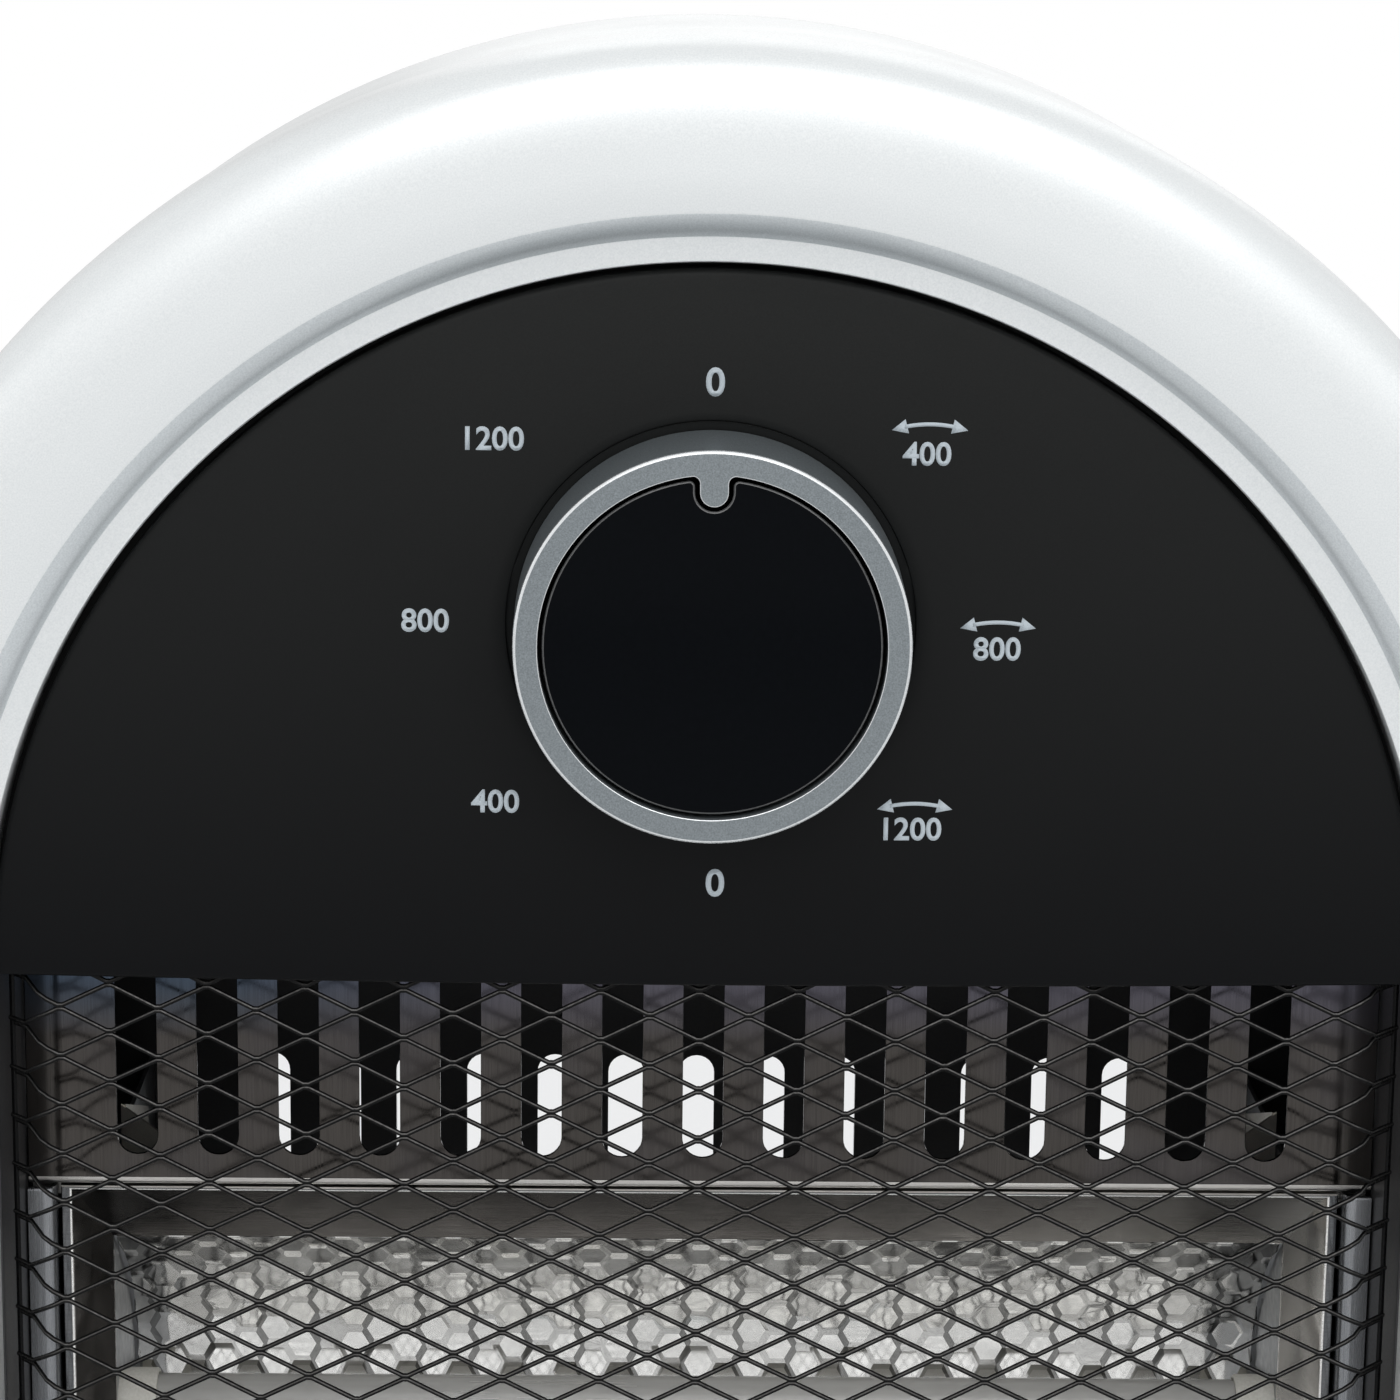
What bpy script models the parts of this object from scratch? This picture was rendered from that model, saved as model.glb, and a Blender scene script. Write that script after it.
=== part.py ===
"""Oscillating quartz heater: an arched head with three quartz tubes on a round base.

Metres, +Z up. The origin is on the floor under the middle of the base, the front faces -Y,
and the head swivels about the Z axis. Depths are measured back from the plane of the
control panel, and heights in the head from the centre of its arched top.
"""
import math

import bmesh
import bpy
from mathutils import Vector

OBJECT_NAME = "quartz_heater"

# Fits
SEAT_GAP = 0.0003
RUNNING_GAP = 0.0004
MERGE = 0.00001

# Base
FOOT_HEIGHT = 0.0045
FOOT_RADIUS = 0.011
FOOT_EDGE = 0.023
BASE_RADIUS = 0.131
BASE_HEIGHT = 0.044
BASE_WALL = 0.0022
BASE_RIM_LIFT = 0.0007
BASE_SEAT_RADIUS = 0.036
BASE_SQUARENESS = 2.3
BASE_PLATE_THICK = 0.002
BASE_SCREW_EDGE = 0.043
BASE_SCREW_ANGLES = (30.0, 150.0, 270.0)
BOSS_RADIUS = 0.0045
SCREW_SHANK = 0.0018
SCREW_HEAD = 0.0036
SCREW_HEAD_HEIGHT = 0.0022
SCREW_LENGTH = 0.012

# Supply inlet at the back of the base
GLAND_HEIGHT = 0.0165
GLAND_BOSS_RADIUS = 0.0092
GLAND_BOSS_INSET = 0.0008
GLAND_BOSS_LENGTH = 0.017
GLAND_NECK = 0.005
GLAND_FLANGE = 0.0075
GLAND_FLANGE_THICK = 0.002
GLAND_BORE = 0.0034
GLAND_TAIL = 0.003

# Tip-over switch
TIP_SWITCH_EDGE = 0.071
TIP_SWITCH_SIZE = (0.024, 0.014, 0.016)
PLUNGER_RADIUS = 0.0032
PLUNGER_COLLAR = 0.0045
PLUNGER_TRAVEL = 0.006
PLUNGER_LENGTH = 0.0157
PLUNGER_COLLAR_HEIGHT = 0.0025

# Terminal block
TERMINAL_SIZE = (0.030, 0.015, 0.013)
TERMINAL_PLACE = (-0.070, -0.010)

# Swivel drive
MOTOR_RADIUS = 0.025
MOTOR_HEIGHT = 0.016
MOTOR_Y = 0.041
MOTOR_EAR = 0.033
MOTOR_EAR_WIDTH = 0.009
MOTOR_EAR_THICK = 0.0015
CRANK_THROW = 0.023
CRANK_RIM = 0.005
CRANK_THICK = 0.003
CRANK_PIN = 0.0025
CRANK_PIN_HEIGHT = 0.0042
CRANK_HUB = 0.0035
CRANK_HUB_LENGTH = 0.008
ARM_THICK = 0.002
ARM_HUB = 0.0145
ARM_END = 0.0075

# Neck
WASHER_THICK = 0.002
WASHER_RADIUS = 0.034
NECK_FLANGE = 0.036
NECK_WAIST = 0.030
NECK_HEIGHT = 0.0199
NECK_BORE = 0.008
NECK_TUBE = 0.014
NECK_TUBE_RISE = 0.0115
SPIGOT_RADIUS = 0.0188
SPIGOT_TAIL = 0.015
COLLAR_RADIUS = 0.025
COLLAR_SLEEVE = 0.019
COLLAR_FLANGE_THICK = 0.0024
NUT_RADIUS = 0.022
NUT_HEIGHT = 0.006

# Head outline: a half circle on straight sides, round a window with small lower corners
HEAD_FRONT_Y = -0.052
WINDOW_HALF = 0.11605
WINDOW_CORNER = 0.010
WINDOW_DROP = 0.278
ARCH_STEPS = 32
CORNER_STEPS = 4

# Bezel section
BEZEL_WALL = 0.0022
BEZEL_BAND = 0.03455
BEZEL_FLANGE = 0.00415
BEZEL_FLANGE_DEPTH = -0.0008
BEZEL_STEP = 0.0039
BEZEL_RIDGE_DEPTH = -0.0043
BEZEL_SIDE_DEPTH = 0.0228
BEZEL_SEAM_DEPTH = 0.026
BEZEL_SQUARENESS = 3.0
THROAT_DEPTH = 0.009

# Rear shell
SHELL_INSET = 0.0003
SHELL_WALL = 0.0022
SHELL_BACK_DEPTH = 0.1107
SHELL_EDGE = 0.016
VENT_COUNT = 13
VENT_PITCH = 0.0134
VENT_WIDTH = 0.00706
VENT_TOP = -0.0451
VENT_BOTTOM = -0.110
HEAD_BOSS_LENGTH = 0.080
UPPER_SCREW_OUTSET = 0.00295
UPPER_SCREW_HEIGHT = 0.045
LOWER_SCREW_OUTSET = 0.00895
LOWER_SCREW_RISE = 0.028

# Carrying grip in the back
GRIP_HALF_WIDTH = 0.055
GRIP_HALF_HEIGHT = 0.019
GRIP_DROP = 0.04105
GRIP_DEPTH = 0.026
GRIP_WALL = 0.002
GRIP_LIP = 0.006
GRIP_DRAFT = 0.002
GRIP_CORNER = 0.010

# Control panel
PANEL_CLEARANCE = 0.0012
PANEL_FRONT_DEPTH = -0.002
PANEL_DOME = 0.0035
PANEL_WALL = 0.003
PANEL_SKIRT = 0.0024
PANEL_FLANGE = 0.004
PANEL_FLANGE_THICK = 0.0016
PANEL_NOTCH_HEIGHT = 0.006
PANEL_RING_SHARE = 0.5
PANEL_EDGE = 0.0006
PANEL_CUT_REACH = 0.03
WELL_RADIUS = 0.0324
WELL_FLOOR_DEPTH = 0.0001

# Knob and selector switch
KNOB_HEIGHT = 0.0588
KNOB_RADIUS = 0.03105
KNOB_FRONT_RADIUS = 0.0307
KNOB_RISE = 0.0203
KNOB_RING_INNER = 0.0267
KNOB_EDGE = 0.0007
KNOB_WALL = 0.0020
KNOB_FLOOR_RISE = 0.0165
KNOB_WEB = 0.002
KNOB_HUB = 0.006
CAP_RADIUS = 0.0259
CAP_EDGE_RISE = 0.0194
CAP_DOME = 0.0011
POINTER_HALF_WIDTH = 0.0028
POINTER_TIP = 0.0213
POINTER_MARGIN = 0.0009
SHAFT_RADIUS = 0.003
SHAFT_ENGAGE = 0.010
SWITCH_SIZE = (0.038, 0.038, 0.022)
SWITCH_SHAFT_DEPTH = 0.012
SWITCH_TAB = (0.0008, 0.006, 0.007)
SWITCH_TAB_CIRCLE = 0.012
SWITCH_TAB_COUNT = 4

# Guard of expanded metal, in coarser meshes than the sixteen by eight millimetres of the real one
GUARD_COLUMNS = 14
GUARD_ROWS = 30
GUARD_STRAND = 0.0012
GUARD_SIDE = 0.00905
GUARD_RETURN_DEPTH = 0.0125
GUARD_TUCK = 0.004

# Window surround
SURROUND_INSET = 0.0004
SURROUND_WALL = 0.0016
SURROUND_FLANGE = 0.004
SURROUND_BACK_DEPTH = 0.037

# Steelwork
STEEL = 0.0008
LINER_DEPTH = 0.0352
LINER_TOP = 0.020
LINER_BOTTOM = -0.0461
LINER_HEM = 0.003
SLOT_COUNT = 15
SLOT_PITCH = 0.01381
SLOT_WIDTH = 0.00695
SLOT_TOP = 0.009
SLOT_BOTTOM = -0.0410
BAFFLE_SIDE = 0.00405
BAFFLE_LIP = 0.0095
FRAME_SIDE = 0.00745
FRAME_TOP = -0.0481
FRAME_FOOT = 0.002
FRAME_DEPTH = 0.036
FRAME_EDGE = 0.003
MIRROR_SIDE = 0.0062
MIRROR_TOP = -0.0593
MIRROR_FOOT = 0.0132
MIRROR_DEPTH = 0.045
PANEL_LIP_DEPTH = 0.0465
PANEL_RIDGE_DEPTH = 0.052
PANEL_TROUGH_DEPTH = 0.074
PANEL_SHEET = 0.0006
TROUGH_STEPS = 8
RAIL_SIDE = 0.00545
RAIL_DEPTH = 0.0334
RAIL_ROUND = 0.0022
RAIL_TOP = -0.0469
RAIL_FOOT = 0.012
GUSSET_DEPTH = 0.058
GUSSET_BACK_DEPTH = 0.090
GUSSET_WIDTH = 0.0164
GUSSET_OUTER_TOP = -0.0396
GUSSET_INNER_TOP = -0.0520
GUSSET_REAR_TOP = -0.0500
GUSSET_BOTTOM = -0.0585
BRACKET_TOP = -0.046
BRACKET_FOOT = 0.011

# Heating elements
TUBE_COUNT = 3
TUBE_DEPTH = 0.054
TUBE_RADIUS = 0.005
TUBE_WALL = 0.001
TUBE_SIDE = 0.0029
CERAMIC_RADIUS = 0.006
CERAMIC_SLEEVE = 0.0035
CERAMIC_END = 0.0115
CERAMIC_FLANGE = 0.007
CERAMIC_FLANGE_THICK = 0.0026
CERAMIC_TIP = 0.0042
COIL_RADIUS = 0.003
COIL_WIRE = 0.0004
COIL_TURNS = 10
COIL_LEAD = 0.0095
COIL_TAIL = 0.0045
COIL_POINTS = 7

# Overheat cut-out under the baffle
CUTOUT_RADIUS = 0.0075
CUTOUT_HEIGHT = 0.007
CUTOUT_FLANGE = (0.026, 0.009, 0.0012)
CUTOUT_PLACE = (0.060, 0.070)

# Facets round a full turn
STEPS_LARGE = 40
STEPS_KNOB = 36
STEPS_MEDIUM = 20
STEPS_ROD = 16
STEPS_SMALL = 12
STEPS_SCREW = 8

# Places that follow from the base's radius
FOOT_CIRCLE = BASE_RADIUS - FOOT_EDGE
BASE_SCREW_CIRCLE = BASE_RADIUS - BASE_SCREW_EDGE
GLAND_BOSS_END = BASE_RADIUS - GLAND_BOSS_INSET
TIP_SWITCH_Y = TIP_SWITCH_EDGE - BASE_RADIUS

# Places that follow from the window's half width and drop
PANEL_RADIUS = WINDOW_HALF - PANEL_CLEARANCE
GUARD_FLAT_HALF = WINDOW_HALF - GUARD_SIDE
BAFFLE_HALF = WINDOW_HALF - BAFFLE_SIDE
RAIL_HALF = WINDOW_HALF - RAIL_SIDE
FRAME_HALF = WINDOW_HALF - FRAME_SIDE
MIRROR_HALF = FRAME_HALF - MIRROR_SIDE
GUSSET_INNER = MIRROR_HALF - GUSSET_WIDTH
TUBE_HALF = MIRROR_HALF - TUBE_SIDE
CERAMIC_INNER = TUBE_HALF - CERAMIC_SLEEVE
CERAMIC_OUTER = TUBE_HALF + CERAMIC_END
COIL_HALF = TUBE_HALF - COIL_LEAD
GRIP_HEIGHT = WINDOW_HALF - GRIP_DROP
FRAME_BOTTOM = FRAME_FOOT - WINDOW_DROP
MIRROR_BOTTOM = MIRROR_FOOT - WINDOW_DROP
RAIL_BOTTOM = RAIL_FOOT - WINDOW_DROP
BRACKET_BOTTOM = BRACKET_FOOT - WINDOW_DROP
UPPER_SCREW_X = WINDOW_HALF + UPPER_SCREW_OUTSET
LOWER_SCREW_X = WINDOW_HALF + LOWER_SCREW_OUTSET
LOWER_SCREW_HEIGHT = LOWER_SCREW_RISE - WINDOW_DROP
HEAD_SCREWS = ((-UPPER_SCREW_X, UPPER_SCREW_HEIGHT), (UPPER_SCREW_X, UPPER_SCREW_HEIGHT),
               (-LOWER_SCREW_X, LOWER_SCREW_HEIGHT), (LOWER_SCREW_X, LOWER_SCREW_HEIGHT))

# Heights that follow from the stack on the floor
PLATE_BOTTOM_Z = FOOT_HEIGHT + SEAT_GAP
PLATE_TOP_Z = PLATE_BOTTOM_Z + BASE_PLATE_THICK
RIM_Z = PLATE_BOTTOM_Z + BASE_RIM_LIFT
INSIDE_Z = PLATE_TOP_Z + SEAT_GAP
WASHER_Z = BASE_HEIGHT + SEAT_GAP
NECK_Z = WASHER_Z + WASHER_THICK + SEAT_GAP
NECK_TOP_Z = NECK_Z + NECK_HEIGHT
HEAD_BOTTOM_Z = NECK_TOP_Z + SEAT_GAP
HEAD_CENTRE_Z = HEAD_BOTTOM_Z + BEZEL_BAND + WINDOW_DROP
MOTOR_TOP_Z = INSIDE_Z + MOTOR_HEIGHT
CRANK_Z = MOTOR_TOP_Z + SEAT_GAP
PIN_TOP_Z = CRANK_Z + CRANK_THICK + CRANK_PIN_HEIGHT
ARM_Z = PIN_TOP_Z + RUNNING_GAP
SPIGOT_END_Z = ARM_Z + ARM_THICK + SEAT_GAP
COVER_UNDERSIDE_Z = BASE_HEIGHT - BASE_WALL
COLLAR_TOP_Z = COVER_UNDERSIDE_Z - RUNNING_GAP
FRONT = (0.0, HEAD_FRONT_Y, HEAD_CENTRE_Z)
FACING_FRONT = (math.pi / 2, 0.0, 0.0)
ALONG_X = (0.0, math.pi / 2, 0.0)

for old in list(bpy.data.objects):
    bpy.data.objects.remove(old)

parts = bpy.data.collections.new(OBJECT_NAME)
cutters = bpy.data.collections.new(OBJECT_NAME + "_cutters")
bpy.context.scene.collection.children.link(parts)
bpy.context.scene.collection.children.link(cutters)


def make_material(name, colour, roughness, metallic=0.0):
    """A plain surface in the colour that the photograph shows."""
    made = bpy.data.materials.new(name)
    made.use_nodes = True
    shader = made.node_tree.nodes["Principled BSDF"]
    shader.inputs["Base Color"].default_value = (*colour, 1.0)
    shader.inputs["Roughness"].default_value = roughness
    shader.inputs["Metallic"].default_value = metallic
    made.diffuse_color = (*colour, 1.0)
    return made


SILVER_PAINT = make_material("silver_paint", (0.62, 0.64, 0.65), 0.38, 0.35)
SATIN_BLACK = make_material("satin_black", (0.013, 0.014, 0.016), 0.42)
GLOSS_BLACK = make_material("gloss_black", (0.004, 0.005, 0.006), 0.12)
KNOB_SILVER = make_material("knob_silver", (0.33, 0.36, 0.38), 0.4, 0.5)
GUARD_BLACK = make_material("guard_black", (0.010, 0.010, 0.011), 0.35, 0.3)
BRUSHED_STEEL = make_material("brushed_steel", (0.33, 0.32, 0.30), 0.34, 1.0)
BRIGHT_PANEL = make_material("bright_panel", (0.72, 0.72, 0.70), 0.22, 1.0)
ZINC_STEEL = make_material("zinc_steel", (0.48, 0.49, 0.50), 0.4, 1.0)
MILKY_QUARTZ = make_material("milky_quartz", (0.83, 0.82, 0.79), 0.3)
COIL_ALLOY = make_material("coil_alloy", (0.20, 0.19, 0.18), 0.5, 1.0)
CERAMIC = make_material("ceramic", (0.78, 0.76, 0.70), 0.55)
DARK_PLASTIC = make_material("dark_plastic", (0.03, 0.03, 0.033), 0.5)
PALE_PLASTIC = make_material("pale_plastic", (0.62, 0.62, 0.58), 0.5)
RUBBER = make_material("rubber", (0.02, 0.02, 0.02), 0.8)


def smooth(mesh, degrees=32.0):
    """Round faces shade smooth, and edges steeper than this stay sharp."""
    mesh.shade_smooth()
    mesh.set_sharp_from_angle(angle=math.radians(degrees))


def finish(made, finish_material):
    """Gives a part its one material and its shading."""
    made.data.materials.clear()
    made.data.materials.append(finish_material)
    smooth(made.data)
    return made


def mesh_object(name, mesh, collection=parts):
    """Links a mesh under its part's name."""
    mesh.name = name
    made = bpy.data.objects.new(name, mesh)
    collection.objects.link(made)
    return made


def from_bmesh(name, shape, collection=parts):
    """Turns a finished bmesh into an object."""
    mesh = bpy.data.meshes.new(name)
    shape.to_mesh(mesh)
    shape.free()
    return mesh_object(name, mesh, collection)


def as_cutter(made):
    """Marks a helper shape, which is not itself a part."""
    made.hide_render = True
    made.display_type = "WIRE"
    return made


def place(made, location=(0.0, 0.0, 0.0), rotation=(0.0, 0.0, 0.0)):
    """Puts an object where its part belongs."""
    made.location = location
    made.rotation_euler = rotation
    return made


def boolean(made, other, operation):
    """Cuts or joins with a helper shape."""
    step = made.modifiers.new(operation.lower(), "BOOLEAN")
    step.operation = operation
    step.solver = "EXACT"
    step.object = as_cutter(other)
    return made


def cut(made, other):
    """Takes the helper's space out of the part."""
    return boolean(made, other, "DIFFERENCE")


def unite(made, other):
    """Makes the helper's shape one body with the part."""
    return boolean(made, other, "UNION")


def solidify(made, thickness, offset=-1.0):
    """Gives an open surface its wall."""
    step = made.modifiers.new("wall", "SOLIDIFY")
    step.thickness = thickness
    step.offset = offset
    step.use_even_offset = True
    return made


def bevel(made, width, segments=1, degrees=40.0):
    """Rounds the edges that meet at more than this angle."""
    step = made.modifiers.new("rounding", "BEVEL")
    step.width = width
    step.segments = segments
    step.limit_method = "ANGLE"
    step.angle_limit = math.radians(degrees)
    step.use_clamp_overlap = True
    return made


def turned(name, profile, steps, closed=False, collection=parts):
    """A solid turned about local Z from (radius, height) points that run down its outside."""
    mesh = bpy.data.meshes.new(name)
    verts = [(radius, 0.0, height) for radius, height in profile]
    edges = [(i, i + 1) for i in range(len(verts) - 1)]
    if closed:
        edges.append((len(verts) - 1, 0))
    mesh.from_pydata(verts, edges, [])
    made = mesh_object(name, mesh, collection)
    screw = made.modifiers.new("turn", "SCREW")
    screw.angle = math.tau
    screw.steps = steps
    screw.render_steps = steps
    screw.use_merge_vertices = True
    screw.merge_threshold = MERGE
    screw.use_smooth_shade = True
    return made


def cylinder(name, radius, low, high, steps, collection=cutters):
    """A plain rod along local Z between two heights."""
    shape = bmesh.new()
    bmesh.ops.create_cone(shape, cap_ends=True, segments=steps, radius1=radius, radius2=radius,
                          depth=high - low)
    bmesh.ops.translate(shape, verts=shape.verts, vec=(0.0, 0.0, (low + high) / 2))
    return from_bmesh(name, shape, collection)


def box(name, low, high, collection=cutters):
    """A box between two corners."""
    shape = bmesh.new()
    bmesh.ops.create_cube(shape, size=1.0)
    size = [b - a for a, b in zip(low, high)]
    middle = [(a + b) / 2 for a, b in zip(low, high)]
    bmesh.ops.scale(shape, verts=shape.verts, vec=size)
    bmesh.ops.translate(shape, verts=shape.verts, vec=middle)
    return from_bmesh(name, shape, collection)


def poly_curve(name, outlines, cyclic=True, dimensions="2D"):
    """A curve object with one straight-sided spline for each outline."""
    curve = bpy.data.curves.new(name, "CURVE")
    curve.dimensions = dimensions
    for outline in outlines:
        spline = curve.splines.new("POLY")
        spline.points.add(len(outline) - 1)
        for point, place_at in zip(spline.points, outline):
            point.co = (*Vector(place_at).to_3d(), 1.0)
        spline.use_cyclic_u = cyclic
    made = bpy.data.objects.new(name, curve)
    cutters.objects.link(made)
    return made


def as_mesh(made, collection=parts):
    """Turns a curve into a welded mesh of the same name, and removes the curve."""
    bpy.context.view_layer.update()
    graph = bpy.context.evaluated_depsgraph_get()
    mesh = bpy.data.meshes.new_from_object(made.evaluated_get(graph))
    shape = bmesh.new()
    shape.from_mesh(mesh)
    bmesh.ops.remove_doubles(shape, verts=shape.verts, dist=MERGE)
    if all(edge.is_manifold for edge in shape.edges):
        bmesh.ops.recalc_face_normals(shape, faces=shape.faces)
    shape.to_mesh(mesh)
    shape.free()
    name = made.name
    matrix = made.matrix_world.copy()
    curve = made.data
    bpy.data.objects.remove(made)
    bpy.data.curves.remove(curve)
    new = mesh_object(name, mesh, collection)
    new.matrix_world = matrix
    return new


def plate(name, outlines, thickness, collection=parts):
    """A flat plate in the local XY plane, its middle at Z 0, with holes where outlines nest."""
    made = poly_curve(name, outlines)
    made.data.fill_mode = "BOTH"
    made.data.extrude = thickness / 2
    return as_mesh(made, collection)


def sweep(name, path, profile, collection=parts):
    """Carries a (outward, forward) profile round a closed flat path."""
    made = poly_curve(name, [path], True, "3D")
    section = poly_curve(name + "_section", [profile], False)
    made.data.twist_mode = "Z_UP"
    made.data.bevel_mode = "OBJECT"
    made.data.bevel_object = section
    new = as_mesh(made, collection)
    section_curve = section.data
    bpy.data.objects.remove(section)
    bpy.data.curves.remove(section_curve)
    return new


def drawn_sheet(name, profile, low, high, collection=parts):
    """An open surface: (depth, height) points drawn along X from low to high."""
    shape = bmesh.new()
    verts = [shape.verts.new((low, depth, height)) for depth, height in profile]
    edges = [shape.edges.new(pair) for pair in zip(verts, verts[1:])]
    grown = bmesh.ops.extrude_edge_only(shape, edges=edges)["geom"]
    far = [item for item in grown if isinstance(item, bmesh.types.BMVert)]
    bmesh.ops.translate(shape, verts=far, vec=(high - low, 0.0, 0.0))
    return from_bmesh(name, shape, collection)


def lofted(name, rings, close_last=False, close_ring=False, collection=parts):
    """A surface through rings of equal count, with an end face or back to the first if asked."""
    shape = bmesh.new()
    loops = [[shape.verts.new(point) for point in ring] for ring in rings]
    after = loops[1:] + loops[:1] if close_ring else loops[1:]
    for near, far in zip(loops, after):
        for i in range(len(near)):
            j = (i + 1) % len(near)
            shape.faces.new((near[i], near[j], far[j], far[i]))
    if close_last:
        shape.faces.new(loops[-1])
    bmesh.ops.recalc_face_normals(shape, faces=shape.faces)
    return from_bmesh(name, shape, collection)


def arc(centre, radius, start, end, steps):
    """Points round part of a circle, in degrees."""
    points = []
    for i in range(steps + 1):
        angle = math.radians(start + (end - start) * i / steps)
        points.append((centre[0] + radius * math.cos(angle), centre[1] + radius * math.sin(angle)))
    return points


def circle(radius, steps, centre=(0.0, 0.0)):
    """A closed ring of points."""
    return arc(centre, radius, 0.0, 360.0, steps)[:-1]


def superellipse(width, height, squareness, steps):
    """A quarter curve from (0, height) to (width, 0), squarer than an ellipse."""
    points = []
    for i in range(steps + 1):
        angle = math.pi / 2 * i / steps
        across = math.sin(angle) ** (2 / squareness)
        up = max(math.cos(angle), 0.0) ** (2 / squareness)
        points.append((width * across, height * up))
    return points


def rounded_rectangle(half_width, half_height, corner, steps=3):
    """A closed outline about the origin."""
    x = half_width - corner
    y = half_height - corner
    points = arc((x, y), corner, 0.0, 90.0, steps)
    points += arc((-x, y), corner, 90.0, 180.0, steps)
    points += arc((-x, -y), corner, 180.0, 270.0, steps)
    points += arc((x, -y), corner, 270.0, 360.0, steps)
    return points


def upright_slot(x, top, bottom, width, steps):
    """An upright slot with round ends."""
    half = width / 2
    return (arc((x, top - half), half, 0.0, 180.0, steps)
            + arc((x, bottom + half), half, 180.0, 360.0, steps))


def arch_outline(offset):
    """The head's closed outline at one distance outside the window's edge."""
    side = WINDOW_HALF - WINDOW_CORNER
    low = -WINDOW_DROP + WINDOW_CORNER
    corner = WINDOW_CORNER + offset
    points = arc((0.0, 0.0), WINDOW_HALF + offset, 0.0, 180.0, ARCH_STEPS)
    points += arc((-side, low), corner, 180.0, 270.0, CORNER_STEPS)
    points += arc((side, low), corner, 270.0, 360.0, CORNER_STEPS)
    return points


def lower_outline(offset):
    """The part of that outline below the arch, as an open line."""
    side = WINDOW_HALF - WINDOW_CORNER
    low = -WINDOW_DROP + WINDOW_CORNER
    corner = WINDOW_CORNER + offset
    points = [(-WINDOW_HALF - offset, -SEAT_GAP)]
    points += arc((-side, low), corner, 180.0, 270.0, CORNER_STEPS)
    points += arc((side, low), corner, 270.0, 360.0, CORNER_STEPS)
    points.append((WINDOW_HALF + offset, -SEAT_GAP))
    return points


def row(count, pitch):
    """Places of a centred row."""
    return [(i - (count - 1) / 2) * pitch for i in range(count)]


def panel_front(radius):
    """Depth of the domed panel's front at one distance from the arch's centre."""
    return PANEL_FRONT_DEPTH + PANEL_DOME * (radius / PANEL_RADIUS) ** 2


def dome_height(radius):
    """Height of the base cover's outside at one radius."""
    span = BASE_RADIUS - BASE_SEAT_RADIUS
    share = min(max((radius - BASE_SEAT_RADIUS) / span, 0.0), 1.0)
    rise = (1.0 - share ** BASE_SQUARENESS) ** (1.0 / BASE_SQUARENESS)
    return RIM_Z + (BASE_HEIGHT - RIM_Z) * rise


def tube_heights():
    """Heights of the three tubes, one in the middle of each trough."""
    pitch = (MIRROR_TOP - MIRROR_BOTTOM) / TUBE_COUNT
    return [MIRROR_TOP - pitch * (i + 0.5) for i in range(TUBE_COUNT)]


def in_head(x, depth, height):
    """World place of a point that is given by its depth and height in the head."""
    return (x, HEAD_FRONT_Y + depth, HEAD_CENTRE_Z + height)


# Bezel and rear shell

def front_bezel():
    ridge = BEZEL_FLANGE + BEZEL_STEP
    section = [(0.0, -THROAT_DEPTH), (0.0, -BEZEL_FLANGE_DEPTH), (BEZEL_FLANGE, -BEZEL_FLANGE_DEPTH)]
    band = superellipse(BEZEL_BAND - ridge, BEZEL_SIDE_DEPTH - BEZEL_RIDGE_DEPTH, BEZEL_SQUARENESS, 6)
    section += [(ridge + across, up - BEZEL_SIDE_DEPTH) for across, up in band]
    section.append((BEZEL_BAND, -BEZEL_SEAM_DEPTH))
    made = sweep("front_bezel", arch_outline(0.0), section)
    place(made, FRONT, FACING_FRONT)
    solidify(made, BEZEL_WALL)
    return finish(made, SILVER_PAINT)


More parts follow.
